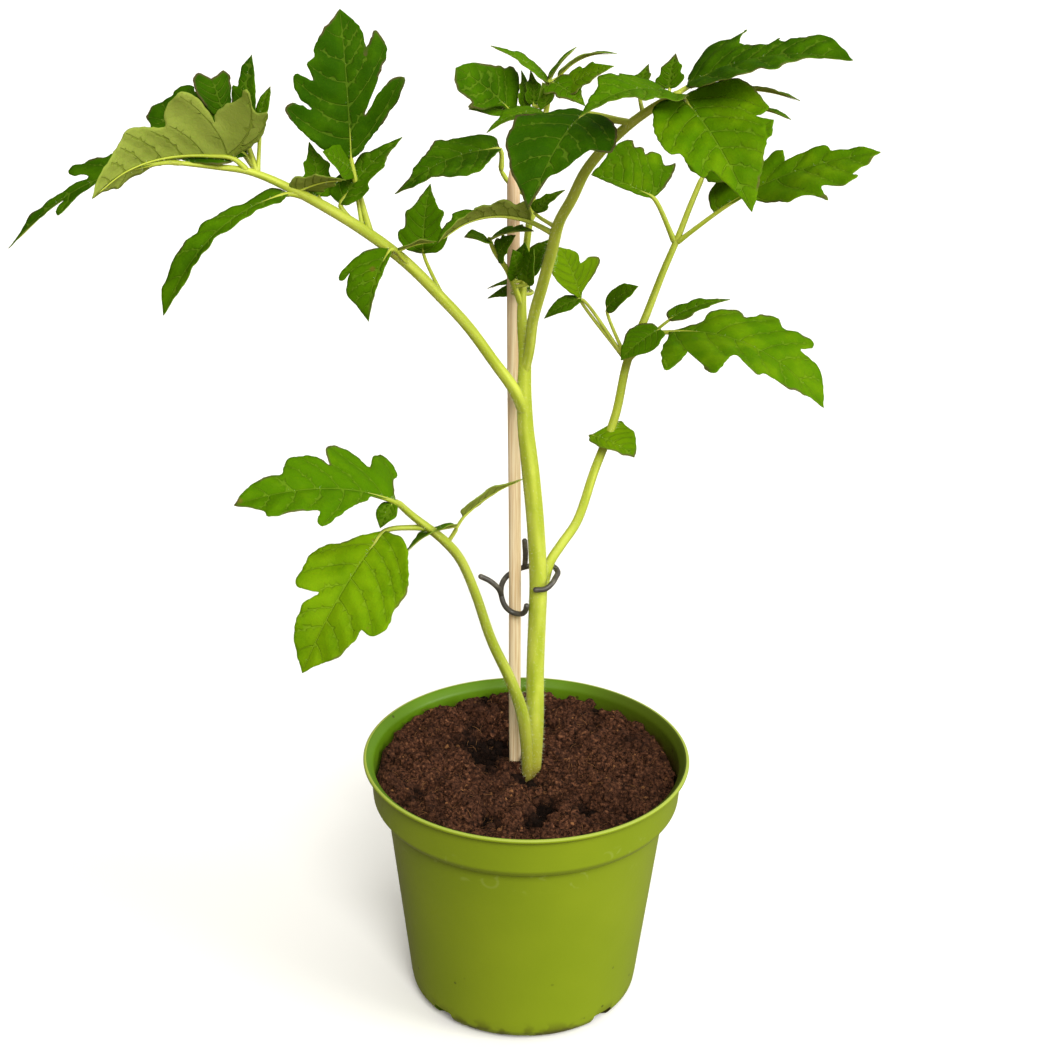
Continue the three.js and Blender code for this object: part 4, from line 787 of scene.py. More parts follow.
def add_node(tree, kind, inputs=(), **settings):
    """Adds a node with its settings and links. An input is told by its name or its place among those
    in use, and takes a value, an output, or a node whose first output in use is meant."""
    node = tree.nodes.new(kind)
    for name, value in settings.items():
        setattr(node, name, value)
    in_use = [socket for socket in node.inputs if socket.enabled]
    for name, value in dict(inputs).items():
        socket = in_use[name] if isinstance(name, int) else next(s for s in in_use if s.name == name)
        if isinstance(value, bpy.types.Node):
            value = next(output for output in value.outputs if output.enabled)
        if isinstance(value, bpy.types.NodeSocket):
            tree.links.new(value, socket)
        else:
            socket.default_value = value
    return node


def new_material(name, **shader_values):
    """A material with one Principled shader: its node tree and that shader."""
    material = bpy.data.materials.new(name)
    material.use_nodes = True
    tree = material.node_tree
    shader = tree.nodes["Principled BSDF"]
    for socket, value in shader_values.items():
        shader.inputs[socket.replace("_", " ")].default_value = value
    return material, tree, shader


def scattered_spots(tree, place, cell, left_out, inner, outer, strength):
    """A mask of round spots: one in each cell of the given size, but for a share left out. It falls
    from its strength to nothing between two distances, told in cells."""
    cells = add_node(tree, "ShaderNodeTexVoronoi", {"Vector": place, "Scale": 1 / cell})
    number = add_node(tree, "ShaderNodeSeparateXYZ", {"Vector": cells.outputs["Color"]}).outputs["X"]
    kept = add_node(tree, "ShaderNodeMath", enumerate((number, left_out)), operation="GREATER_THAN")
    mark = add_node(tree, "ShaderNodeMapRange", zip(RANGE, (cells, inner, outer, strength, 0)), **SMOOTH)
    return add_node(tree, "ShaderNodeMath", enumerate((mark, kept)), operation="MULTIPLY")


def leaf_blade():
    """Tomato leaf: a soft waxy skin over green flesh, matt with short hairs. Light veins branch
    from the midrib, a finer net lies between them, and the underside is pale with raised veins.
    Some margins are tinged brown and a few small dry spots lie scattered on the blades. Painted
    shade darkens the upper side where the blade dips to its main veins."""
    material, tree, shader = new_material(
        "Tomato leaf blade", Roughness=0.55, Specular_IOR_Level=0.01, Subsurface_Weight=0.12,
        Subsurface_Scale=0.0012)
    shader.inputs["Subsurface Radius"].default_value = (0.5, 1.0, 0.15)
    spot = add_node(tree, "ShaderNodeTexCoord").outputs["Object"]
    tone, in_vein_widths, from_vein, from_rim, under = (
        add_node(tree, "ShaderNodeAttribute", attribute_name=name).outputs["Fac"]
        for name in ("tone", "vein", "hollow", "rim", "under"))

    vein = add_node(tree, "ShaderNodeMapRange", zip(RANGE, (in_vein_widths, 0.5, 1.3, 1, 0)), **SMOOTH)
    net = add_node(tree, "ShaderNodeTexVoronoi", {"Vector": spot, "Scale": 1 / (2.4 * MM)},
                   feature="DISTANCE_TO_EDGE")
    fine_vein = add_node(tree, "ShaderNodeMapRange", zip(RANGE, (net, 0, 0.07, 0.1, 0)), **SMOOTH)
    veins = add_node(tree, "ShaderNodeMath", enumerate((vein, fine_vein)), operation="MAXIMUM")

    patches = add_node(tree, "ShaderNodeTexNoise", {"Vector": spot, "Scale": 1 / (9 * MM), "Detail": 3})
    mood = add_node(tree, "ShaderNodeMath", enumerate((patches, 0.7, -0.35)), operation="MULTIPLY_ADD")
    mood = add_node(tree, "ShaderNodeMath", enumerate((mood, tone)), operation="ADD")
    lighter = add_node(tree, "ShaderNodeMapRange", zip(RANGE, (mood, 0, 0.5, 0, 1)), **SMOOTH)
    lightest = add_node(tree, "ShaderNodeMapRange", zip(RANGE, (mood, 0.5, 1, 0, 1)), **SMOOTH)
    # Painted shade: the blade is painted darker within 2.5 mm of its main veins, where it dips between its
    # pillows.
    painted_vein_shade = add_node(tree, "ShaderNodeMapRange", zip(RANGE, (from_vein, 0, 2.5, 0.12, 0)), **SMOOTH)
    flesh = add_node(tree, "ShaderNodeMix", zip(MIX, (lighter, colour("#274a02"), colour("#476f03"))),
                     **COLOURS)
    flesh = add_node(tree, "ShaderNodeMix", zip(MIX, (lightest, flesh, colour("#6a8c07"))), **COLOURS)
    flesh = add_node(tree, "ShaderNodeMix", zip(MIX, (painted_vein_shade, flesh, colour("#274603"))), **COLOURS)
    vein_tint = add_node(tree, "ShaderNodeMix", zip(MIX, (0.14, flesh, colour("#8fa835"))), **COLOURS)
    upper = add_node(tree, "ShaderNodeMix", zip(MIX, (veins, flesh, vein_tint)), **COLOURS)

    at_rim = add_node(tree, "ShaderNodeMapRange", zip(RANGE, (from_rim, 0.3, 0.9, 0.6, 0)), **SMOOTH)
    stretches = add_node(tree, "ShaderNodeTexNoise", {"Vector": spot, "Scale": 1 / (14 * MM)})
    tinged = add_node(tree, "ShaderNodeMapRange", zip(RANGE, (stretches, 0.5, 0.62, 0, 1)), **SMOOTH)
    brown_rim = add_node(tree, "ShaderNodeMath", enumerate((at_rim, tinged)), operation="MULTIPLY")
    upper = add_node(tree, "ShaderNodeMix", zip(MIX, (brown_rim, upper, colour("#5a4433"))), **COLOURS)

    dry = scattered_spots(tree, spot, 13 * MM, 0.72, 0.04, 0.11, 0.6)
    upper = add_node(tree, "ShaderNodeMix", zip(MIX, (dry, upper, colour("#6e5a22"))), **COLOURS)

    pale = add_node(tree, "ShaderNodeMix", zip(MIX, (patches, colour("#7a8a32"), colour("#8e9a44"))),
                    **COLOURS)
    ribs = add_node(tree, "ShaderNodeMath", enumerate((veins, 0.6)), operation="MULTIPLY")
    lower = add_node(tree, "ShaderNodeMix", zip(MIX, (ribs, pale, colour("#66761f"))), **COLOURS)
    skin = add_node(tree, "ShaderNodeMix", zip(MIX, (under, upper, lower)), **COLOURS)
    tree.links.new(skin.outputs["Result"], shader.inputs["Base Color"])

    grain = add_node(tree, "ShaderNodeTexNoise", {"Vector": spot, "Scale": 1 / (0.9 * MM)})
    height = add_node(tree, "ShaderNodeMath", enumerate((grain, 0.35)), operation="MULTIPLY")
    height = add_node(tree, "ShaderNodeMath", enumerate((height, veins)), operation="SUBTRACT")
    bump = add_node(tree, "ShaderNodeBump", {"Height": height, "Distance": 0.35 * MM})
    tree.links.new(bump.outputs["Normal"], shader.inputs["Normal"])
    return material


def stem_skin():
    """Green stem: a thin waxy skin with pale lengthwise streaks, soft to the light, dusted with soil
    where it comes out of the pot."""
    material, tree, shader = new_material(
        "Tomato stem skin", Roughness=0.45, Specular_IOR_Level=0.3, Subsurface_Weight=0.15,
        Subsurface_Scale=0.0015)
    shader.inputs["Subsurface Radius"].default_value = (0.8, 1.0, 0.2)
    spot = add_node(tree, "ShaderNodeTexCoord").outputs["Object"]
    streak, tone = (add_node(tree, "ShaderNodeAttribute", attribute_name=name).outputs["Fac"]
                    for name in ("streak", "tone"))
    green = add_node(tree, "ShaderNodeMix", zip(MIX, (tone, colour("#8c9a22"), colour("#c6d23e"))),
                     **COLOURS)
    darker = add_node(tree, "ShaderNodeMix", zip(MIX, (0.35, green, colour("#7f9220"))), **COLOURS)
    paler = add_node(tree, "ShaderNodeMix", zip(MIX, (0.35, green, colour("#d8de6c"))), **COLOURS)
    share = add_node(tree, "ShaderNodeMapRange", zip(RANGE, (streak, -0.5, 0.6, 0, 1)), **SMOOTH)
    streaked = add_node(tree, "ShaderNodeMix", zip(MIX, (share, darker, paler)), **COLOURS)
    patches = add_node(tree, "ShaderNodeTexNoise", {"Vector": spot, "Scale": 1 / (6 * MM)})
    blotch = add_node(tree, "ShaderNodeMapRange", zip(RANGE, (patches, 0.35, 0.75, 0, 0.4)), **SMOOTH)
    skin = add_node(tree, "ShaderNodeMix", zip(MIX, (blotch, streaked, colour("#9aac28"))), **COLOURS)
    height = add_node(tree, "ShaderNodeSeparateXYZ", {"Vector": spot}).outputs["Z"]
    dull_range = (88 * MM, 125 * MM, 0.75, 0)
    dull_base = add_node(tree, "ShaderNodeMapRange", zip(RANGE, (height, *dull_range)), **SMOOTH)
    skin = add_node(tree, "ShaderNodeMix", zip(MIX, (dull_base, skin, colour("#8a8628"))), **COLOURS)
    low = add_node(tree, "ShaderNodeMapRange", zip(RANGE, (height, 84 * MM, 94 * MM, 1.4, 0)), **SMOOTH)
    dusty = add_node(tree, "ShaderNodeMath", enumerate((low, patches)), operation="MULTIPLY")
    skin = add_node(tree, "ShaderNodeMix", zip(MIX, (dusty, skin, colour("#5d4426"))), **COLOURS)
    tree.links.new(skin.outputs["Result"], shader.inputs["Base Color"])
    grain = add_node(tree, "ShaderNodeTexNoise", {"Vector": spot, "Scale": 1 / (0.7 * MM)})
    bump = add_node(tree, "ShaderNodeBump", {"Height": grain, "Distance": 0.12 * MM})
    tree.links.new(bump.outputs["Normal"], shader.inputs["Normal"])
    return material


def hair_skin():
    """Stem hairs: thin, nearly clear bristles that show whitish where the light comes from behind."""
    material, _, _ = new_material("Tomato stem hair", Base_Color=colour("#dfe6b8"), Roughness=0.5,
                                  Specular_IOR_Level=0.3)
    return material


def outer_marks(tree, spot, skin):
    """What is on the pot's outside: faint dried water rings round the front of the collar, a painted
    highlight along the rim's top edge, and soil specks and dirt low on the body."""
    height = add_node(tree, "ShaderNodeSeparateXYZ", {"Vector": spot}).outputs["Z"]
    cells = add_node(tree, "ShaderNodeTexVoronoi", {"Vector": spot, "Scale": 1 / (11 * MM)})
    from_ring = add_node(tree, "ShaderNodeMath", enumerate((cells, 0.3)), operation="SUBTRACT")
    from_ring = add_node(tree, "ShaderNodeMath", {0: from_ring}, operation="ABSOLUTE")
    ring = add_node(tree, "ShaderNodeMapRange", zip(RANGE, (from_ring, 0.015, 0.06, 0.09, 0)), **SMOOTH)
    arcs = add_node(tree, "ShaderNodeTexNoise", {"Vector": spot, "Scale": 1 / (6 * MM)})
    arc = add_node(tree, "ShaderNodeMapRange", zip(RANGE, (arcs, 0.5, 0.56, 0, 1)), **SMOOTH)
    low = add_node(tree, "ShaderNodeMapRange", zip(RANGE, (height, 70 * MM, 74 * MM, 0, 1)), **SMOOTH)
    high = add_node(tree, "ShaderNodeMapRange", zip(RANGE, (height, 86 * MM, 90 * MM, 1, 0)), **SMOOTH)
    for limit in (arc, low, high):
        ring = add_node(tree, "ShaderNodeMath", enumerate((ring, limit)), operation="MULTIPLY")
    skin = add_node(tree, "ShaderNodeMix", zip(MIX, (ring, skin, colour("#c9d78a"))), **COLOURS)

    # Painted highlight: a pale band over the top 0.6 mm of the rim.
    lip_highlight_range = ((POT_HEIGHT - 0.6) * MM, POT_HEIGHT * MM, 0, 0.4)
    painted_lip_highlight = add_node(tree, "ShaderNodeMapRange", zip(RANGE, (height, *lip_highlight_range)), **SMOOTH)
    skin = add_node(tree, "ShaderNodeMix", zip(MIX, (painted_lip_highlight, skin, colour("#c3d069"))), **COLOURS)

    speck = scattered_spots(tree, spot, 6 * MM, 0.4, 0.07, 0.13, 0.8)
    near_foot = add_node(tree, "ShaderNodeMapRange", zip(RANGE, (height, 20 * MM, 34 * MM, 1, 0)), **SMOOTH)
    speck = add_node(tree, "ShaderNodeMath", enumerate((speck, near_foot)), operation="MULTIPLY")
    skin = add_node(tree, "ShaderNodeMix", zip(MIX, (speck, skin, colour("#3d4410"))), **COLOURS)

    patches = add_node(tree, "ShaderNodeTexNoise", {"Vector": spot, "Scale": 1 / (7 * MM)})
    patch = add_node(tree, "ShaderNodeMapRange", zip(RANGE, (patches, 0.48, 0.62, 0, 0.85)), **SMOOTH)
    at_foot = add_node(tree, "ShaderNodeMapRange", zip(RANGE, (height, 2 * MM, 11 * MM, 1, 0)), **SMOOTH)
    dirt = add_node(tree, "ShaderNodeMath", enumerate((patch, at_foot)), operation="MULTIPLY")
    return add_node(tree, "ShaderNodeMix", zip(MIX, (dirt, skin, colour("#45420f"))), **COLOURS)


def inner_dust_and_shade(tree, spot, skin):
    """What is painted on the pot's inner wall: brown soil dusting and specks just above the compost,
    and painted shade that browns and darkens the wall towards its right side."""
    axes = add_node(tree, "ShaderNodeSeparateXYZ", {"Vector": spot}).outputs
    patches = add_node(tree, "ShaderNodeTexNoise", {"Vector": spot, "Scale": 1 / (5 * MM), "Detail": 3})
    soil_range = ((SOIL_LEVEL - 1) * MM, (SOIL_LEVEL + 7.5) * MM, 0.9, 0)
    over_soil = add_node(tree, "ShaderNodeMapRange", zip(RANGE, (axes["Z"], *soil_range)), **SMOOTH)
    dust_and_shade = add_node(tree, "ShaderNodeMath", enumerate((patches, over_soil)), operation="MULTIPLY")
    # Painted shade: the wall is painted browner and darker towards its right side, on top of the soil
    # dusting.
    shaded = add_node(tree, "ShaderNodeMapRange", zip(RANGE, (axes["X"], 0, 50 * MM, 0, 0.6)), **SMOOTH)
    dust_and_shade = add_node(tree, "ShaderNodeMath", enumerate((dust_and_shade, shaded)), operation="ADD")
    skin = add_node(tree, "ShaderNodeMix", zip(MIX, (dust_and_shade, skin, colour("#3a2f0e"))), **COLOURS)
    speck = scattered_spots(tree, spot, 5 * MM, 0.6, 0.1, 0.16, 0.8)
    return add_node(tree, "ShaderNodeMix", zip(MIX, (speck, skin, colour("#33260f"))), **COLOURS)


def pot_plastic(name, light, dark, marks):
    """Thermoformed polypropylene: an even satin skin in a green that drifts a little in tone. The
    inner wall's copy is darker, which is painted shade. `marks` adds what lies on it, and also the
    painted highlight on the rim outside and painted shade inside."""
    material, tree, shader = new_material(name, Roughness=0.42, Specular_IOR_Level=0.22)
    spot = add_node(tree, "ShaderNodeTexCoord").outputs["Object"]
    wide = add_node(tree, "ShaderNodeTexNoise", {"Vector": spot, "Scale": 1 / (40 * MM)})
    share = add_node(tree, "ShaderNodeMapRange", zip(RANGE, (wide, 0.3, 0.7, 0, 1)), **SMOOTH)
    skin = add_node(tree, "ShaderNodeMix", zip(MIX, (share, colour(light), colour(dark))), **COLOURS)
    skin = marks(tree, spot, skin)
    tree.links.new(skin.outputs["Result"], shader.inputs["Base Color"])
    grain = add_node(tree, "ShaderNodeTexNoise", {"Vector": spot, "Scale": 1 / (3 * MM)})
    bump = add_node(tree, "ShaderNodeBump", {"Height": grain, "Distance": 0.05 * MM})
    tree.links.new(bump.outputs["Normal"], shader.inputs["Normal"])
    return material


def peat():
    """Moist peat compost: dark crumbs and reddish fibres, matt, with painted shade that turns its hollows
    nearly black.
    """
    material, tree, shader = new_material("Moist peat compost", Roughness=0.9, Specular_IOR_Level=0.08)
    spot = add_node(tree, "ShaderNodeTexCoord").outputs["Object"]
    pick, depth = (add_node(tree, "ShaderNodeAttribute", attribute_name=name).outputs["Fac"]
                   for name in ("crumb", "depth"))
    grain = add_node(tree, "ShaderNodeTexNoise", {"Vector": spot, "Scale": 1 / (1.2 * MM), "Detail": 4})
    share = add_node(tree, "ShaderNodeMapRange", zip(RANGE, (grain, 0.3, 0.62, 0, 1)), **SMOOTH)
    top_share = add_node(tree, "ShaderNodeMapRange", zip(RANGE, (grain, 0.56, 0.74, 0, 1)), **SMOOTH)
    brown = add_node(tree, "ShaderNodeMix", zip(MIX, (share, colour("#150b07"), colour("#513222"))),
                     **COLOURS)
    brown = add_node(tree, "ShaderNodeMix", zip(MIX, (top_share, brown, colour("#7a5238"))), **COLOURS)
    patches = add_node(tree, "ShaderNodeTexNoise", {"Vector": spot, "Scale": 1 / (12 * MM)})
    patch = add_node(tree, "ShaderNodeMapRange", zip(RANGE, (patches, 0.4, 0.65, 0, 0.5)), **SMOOTH)
    brown = add_node(tree, "ShaderNodeMix", zip(MIX, (patch, brown, colour("#2e1b12"))), **COLOURS)
    fleck = add_node(tree, "ShaderNodeMapRange", zip(RANGE, (pick, 0.96, 0.99, 0, 0.7)), **SMOOTH)
    brown = add_node(tree, "ShaderNodeMix", zip(MIX, (fleck, brown, colour("#94663f"))), **COLOURS)
    # Painted shade: the deeper a spot lies among lumps and hollows, the nearer to black it is painted.
    deep = add_node(tree, "ShaderNodeMapRange", zip(RANGE, (depth, -2.6, 0, 0.92, 0)), **SMOOTH)
    brown = add_node(tree, "ShaderNodeMix", zip(MIX, (deep, brown, colour("#0a0604"))), **COLOURS)
    tree.links.new(brown.outputs["Result"], shader.inputs["Base Color"])
    roughness = add_node(tree, "ShaderNodeTexNoise", {"Vector": spot, "Scale": 1 / (0.6 * MM), "Detail": 4})
    bump = add_node(tree, "ShaderNodeBump", {"Height": roughness, "Distance": 0.5 * MM})
    tree.links.new(bump.outputs["Normal"], shader.inputs["Normal"])
    return material


def peat_fibre():
    """Peat moss fibre: thin orange-brown strands."""
    material, tree, shader = new_material("Peat fibre", Roughness=0.8, Specular_IOR_Level=0.2)
    spot = add_node(tree, "ShaderNodeTexCoord").outputs["Object"]
    patches = add_node(tree, "ShaderNodeTexNoise", {"Vector": spot, "Scale": 1 / (6 * MM)})
    share = add_node(tree, "ShaderNodeMapRange", zip(RANGE, (patches, 0.4, 0.6, 0, 1)), **SMOOTH)
    strand = add_node(tree, "ShaderNodeMix", zip(MIX, (share, colour("#3f2615"), colour("#7d5632"))),
                      **COLOURS)
    tree.links.new(strand.outputs["Result"], shader.inputs["Base Color"])
    return material


def cane():
    """Split cane, sanded: cream wood with fine lengthwise grain, a little browner at places."""
    material, tree, shader = new_material("Sanded split cane", Roughness=0.55, Specular_IOR_Level=0.35)
    spot = add_node(tree, "ShaderNodeTexCoord").outputs["Object"]
    drawn_out = add_node(tree, "ShaderNodeMapping", {"Vector": spot, "Scale": (1, 1, 0.03)})
    grain = add_node(tree, "ShaderNodeTexNoise", {"Vector": drawn_out, "Scale": 1 / (0.7 * MM)})
    share = add_node(tree, "ShaderNodeMapRange", zip(RANGE, (grain, 0.35, 0.65, 0, 1)), **SMOOTH)
    wood = add_node(tree, "ShaderNodeMix", zip(MIX, (share, colour("#e0c294"), colour("#f6e4bd"))),
                    **COLOURS)
    height = add_node(tree, "ShaderNodeSeparateXYZ", {"Vector": spot}).outputs["Z"]
    aged = add_node(tree, "ShaderNodeMapRange", zip(RANGE, (height, 240 * MM, 300 * MM, 0, 0.45)), **SMOOTH)
    wood = add_node(tree, "ShaderNodeMix", zip(MIX, (aged, wood, colour("#b08a6c"))), **COLOURS)
    tree.links.new(wood.outputs["Result"], shader.inputs["Base Color"])
    bump = add_node(tree, "ShaderNodeBump", {"Height": grain, "Distance": 0.08 * MM})
    tree.links.new(bump.outputs["Normal"], shader.inputs["Normal"])
    return material


def clip_plastic():
    """Injection-moulded polyethylene in a dark grey-brown, satin, dusty where it was handled."""
    material, tree, shader = new_material("Moulded polyethylene clip", Roughness=0.42)
    spot = add_node(tree, "ShaderNodeTexCoord").outputs["Object"]
    patches = add_node(tree, "ShaderNodeTexNoise", {"Vector": spot, "Scale": 1 / (3 * MM)})
    share = add_node(tree, "ShaderNodeMapRange", zip(RANGE, (patches, 0.45, 0.75, 0, 1)), **SMOOTH)
    skin = add_node(tree, "ShaderNodeMix", zip(MIX, (share, colour("#3f3c35"), colour("#625e52"))),
                    **COLOURS)
    tree.links.new(skin.outputs["Result"], shader.inputs["Base Color"])
    grain = add_node(tree, "ShaderNodeTexNoise", {"Vector": spot, "Scale": 1 / (0.8 * MM)})
    bump = add_node(tree, "ShaderNodeBump", {"Height": grain, "Distance": 0.05 * MM})
    tree.links.new(bump.outputs["Normal"], shader.inputs["Normal"])
    return material


LEAF_BLADE = leaf_blade()
STEM_SKIN = stem_skin()
HAIR_SKIN = hair_skin()
POT_OUTER = pot_plastic("Thermoformed polypropylene", "#7e9016", "#788b13", outer_marks)
# The inner wall is the same plastic in darker, deeper greens, which is painted shade.
POT_INNER_SHADED = pot_plastic("Thermoformed polypropylene, inner wall, painted shade", "#557a08", "#4d7006", inner_dust_and_shade)
PEAT = peat()
PEAT_FIBRE = peat_fibre()
CANE = cane()
CLIP_PLASTIC = clip_plastic()


# ---------- what repeats: hairs, crumbs and fibres ----------

LUMPINESS = 1.9  # how far a crumb's surface is pushed about, in its radii
HAIR_LEAN, CRUMB_LEAN, FIBRE_LEAN = 0.5, 1.5, 0.35  # radians
HAIR_SEED, LUMP_SEED, FIBRE_SEED, CRUMB_SEED = 11, 21, 31, 41
FIBRE_BEND = ((-0.5, 0, 0), (0, 0.18, 0.3), (0.5, 0.03, 0.05))  # its ends and middle, in lengths


def growth_tree(name, sizes):
    """An empty tree of geometry nodes with named inputs for its sizes, and its two end nodes."""
    tree = bpy.data.node_groups.new(name, "GeometryNodeTree")
    tree.interface.new_socket("Geometry", in_out="INPUT", socket_type="NodeSocketGeometry")
    for size_name in sizes:
        tree.interface.new_socket(size_name, in_out="INPUT", socket_type="NodeSocketFloat")
    tree.interface.new_socket("Material", in_out="INPUT", socket_type="NodeSocketMaterial")
    tree.interface.new_socket("Geometry", in_out="OUTPUT", socket_type="NodeSocketGeometry")
    return tree, add_node(tree, "NodeGroupInput"), add_node(tree, "NodeGroupOutput")


def scattered(tree, given, shape, lean, smallest, seed):
    """Copies of a shape on the given faces, leaning at random up to `lean` and down to the share
    `smallest` of its size."""
    dots = add_node(tree, "GeometryNodeDistributePointsOnFaces",
                    {"Mesh": given.outputs["Geometry"], "Density": given.outputs["Density"],
                     "Seed": seed})
    turn = math.pi
    tipped = add_node(tree, "FunctionNodeRandomValue",
                      {"Min": (-lean, -lean, -turn), "Max": (lean, lean, turn), "Seed": seed + 1},
                      data_type="FLOAT_VECTOR")
    rotation = add_node(tree, "FunctionNodeRotateRotation",
                        {"Rotation": dots.outputs["Rotation"], "Rotate By": tipped},
                        rotation_space="LOCAL")
    scale = add_node(tree, "FunctionNodeRandomValue", {"Min": smallest, "Max": 1, "Seed": seed + 2},
                     data_type="FLOAT")
    return add_node(tree, "GeometryNodeInstanceOnPoints",
                    {"Points": dots, "Instance": shape, "Rotation": rotation, "Scale": scale})


def finish_growth(tree, given, end, copies, seed, palest=1):
    """Makes the copies one mesh, gives each a random number for its colour, and sets the material."""
    pick = add_node(tree, "FunctionNodeRandomValue", {"Min": 0, "Max": palest, "Seed": seed + 3},
                    data_type="FLOAT")
    told = add_node(tree, "GeometryNodeStoreNamedAttribute",
                    {"Geometry": copies, "Name": "crumb", "Value": pick},
                    data_type="FLOAT", domain="INSTANCE")
    real = add_node(tree, "GeometryNodeRealizeInstances", {"Geometry": told})
    done = add_node(tree, "GeometryNodeSetMaterial",
                    {"Geometry": real, "Material": given.outputs["Material"]})
    tree.links.new(done.outputs["Geometry"], end.inputs["Geometry"])
    return tree


def hair_tree():
    """Three-sided bristles that stand out from a skin."""
    tree, given, end = growth_tree("Hairs", ("Density", "Length", "Radius"))
    bristle = add_node(tree, "GeometryNodeMeshCone",
                       {"Vertices": 3, "Side Segments": 1, "Radius Top": 0.0,
                        "Radius Bottom": given.outputs["Radius"], "Depth": given.outputs["Length"]},
                       fill_type="NGON")
    copies = scattered(tree, given, bristle, HAIR_LEAN, 0.35, HAIR_SEED)
    return finish_growth(tree, given, end, copies, HAIR_SEED)


def crumb_tree(name, level, seed, palest):
    """Lumpy crumbs that lie on a surface, of so fine a mesh, with colour numbers up to `palest`."""
    tree, given, end = growth_tree(name, ("Density", "Radius"))
    ball = add_node(tree, "GeometryNodeMeshIcoSphere",
                    {"Radius": given.outputs["Radius"], "Subdivisions": level})
    spot = add_node(tree, "GeometryNodeInputPosition")
    bent = add_node(tree, "ShaderNodeTexNoise", {"Vector": spot, "Scale": 1 / (1.1 * MM), "Detail": 1})
    push = add_node(tree, "ShaderNodeVectorMath", {0: bent.outputs["Color"], 1: (0.5, 0.5, 0.5)},
                    operation="SUBTRACT")
    reach = add_node(tree, "ShaderNodeMath", enumerate((given.outputs["Radius"], LUMPINESS)),
                     operation="MULTIPLY")
    offset = add_node(tree, "ShaderNodeVectorMath", {0: push, "Scale": reach}, operation="SCALE")
    lump = add_node(tree, "GeometryNodeSetPosition", {"Geometry": ball, "Offset": offset})
    copies = scattered(tree, given, lump, CRUMB_LEAN, 0.3, seed)
    return finish_growth(tree, given, end, copies, seed, palest)


def fibre_tree():
    """Short bent strands that lie on the soil."""
    tree, given, end = growth_tree("Fibres", ("Density", "Length", "Radius"))
    ends = [add_node(tree, "ShaderNodeVectorMath", {0: place, "Scale": given.outputs["Length"]},
                     operation="SCALE")
            for place in FIBRE_BEND]
    line = add_node(tree, "GeometryNodeCurveQuadraticBezier",
                    {"Resolution": 5, "Start": ends[0], "Middle": ends[1], "End": ends[2]})
    ring = add_node(tree, "GeometryNodeCurvePrimitiveCircle",
                    {"Resolution": 3, "Radius": given.outputs["Radius"]})
    strand = add_node(tree, "GeometryNodeCurveToMesh",
                      {"Curve": line, "Profile Curve": ring, "Fill Caps": True})
    copies = scattered(tree, given, strand, FIBRE_LEAN, 0.3, FIBRE_SEED)
    return finish_growth(tree, given, end, copies, FIBRE_SEED)


def grown(name, emitter, tree, material, **sizes):
    """The plain mesh that a growth tree makes on an emitter, as a new piece."""
    modifier = emitter.modifiers.new("Growth", "NODES")
    modifier.node_group = tree
    for socket in tree.interface.items_tree:
        if socket.in_out == "INPUT" and socket.name in sizes:
            modifier[socket.identifier] = float(sizes[socket.name])
        elif socket.in_out == "INPUT" and socket.name == "Material":
            modifier[socket.identifier] = material
    evaluated = emitter.evaluated_get(bpy.context.evaluated_depsgraph_get())
    mesh = bpy.data.meshes.new_from_object(evaluated)
    emitter.modifiers.remove(modifier)
    return show(name, mesh)


def dressed(piece, slot, *nodes):
    """Fixes a piece to the plant and hides the imported parts it takes the place of."""
    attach(piece, "root")
    if nodes:
        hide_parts(*nodes)


# ---------- pot ----------

POT_SIDES = 160
FLOOR_TOP = WALL + 0.3
CORNER_CUT = 0.9
SHARP_EDGE = 35  # degrees
POT_PROFILE = [  # radius and height, from the foot up the outside and down the inside
    (FOOT_RADIUS, 0), (40.4, 2.4), (42.2, 5), (BODY_FOOT_RADIUS, FOOT_CORNER + 1),
    (BODY_TOP_RADIUS, POT_HEIGHT - COLLAR_HEIGHT - 2.6), (54.6, POT_HEIGHT - COLLAR_HEIGHT - 1),
    (COLLAR_RADIUS - 1, POT_HEIGHT - COLLAR_HEIGHT + 1.6), (COLLAR_RADIUS, POT_HEIGHT - 2.6),
    (RIM_RADIUS, POT_HEIGHT - 1.2), (RIM_RADIUS, POT_HEIGHT - 0.3), (RIM_RADIUS - 0.5, POT_HEIGHT),
    (RIM_RADIUS - 1.5, POT_HEIGHT), (COLLAR_RADIUS - WALL, POT_HEIGHT - 2.4),
    (COLLAR_RADIUS - WALL - 1, POT_HEIGHT - COLLAR_HEIGHT + 2.2),
    (BODY_TOP_RADIUS - WALL + 0.2, POT_HEIGHT - COLLAR_HEIGHT - 1.2),
    (BODY_FOOT_RADIUS - WALL, FOOT_CORNER + 1.4), (39.4, 3.4), (FOOT_RADIUS - 0.6, FLOOR_TOP),
]
FOOT_CUT_COUNT = 8
FIRST_FOOT_CUT = -3  # degrees
DEEP_SLOT_TURN = 3
FOOT_CUT_OUTER = FOOT_RADIUS + 10
FOOT_CUT_ROUNDING = 0.8
DEEP_SLOT = (9, 6.4, 20)  # width, height and reach inwards
SHALLOW_GAP = (10, 2.8, 13)


def softened(profile, cut, steps=5):
    """A profile with each of its corners rounded, from `cut` before it to `cut` behind it."""
    profile = [np.array(point, float) for point in profile]
    rounded = [profile[0]]
    for before, corner, after in zip(profile, profile[1:], profile[2:]):
        back, ahead = before - corner, after - corner
        start = corner + back * min(cut / np.linalg.norm(back), 0.45)
        end = corner + ahead * min(cut / np.linalg.norm(ahead), 0.45)
        for share in np.linspace(0, 1, steps):
            rounded.append((1 - share) ** 2 * start + 2 * share * (1 - share) * corner + share ** 2 * end)
    return np.array(rounded + [profile[-1]])


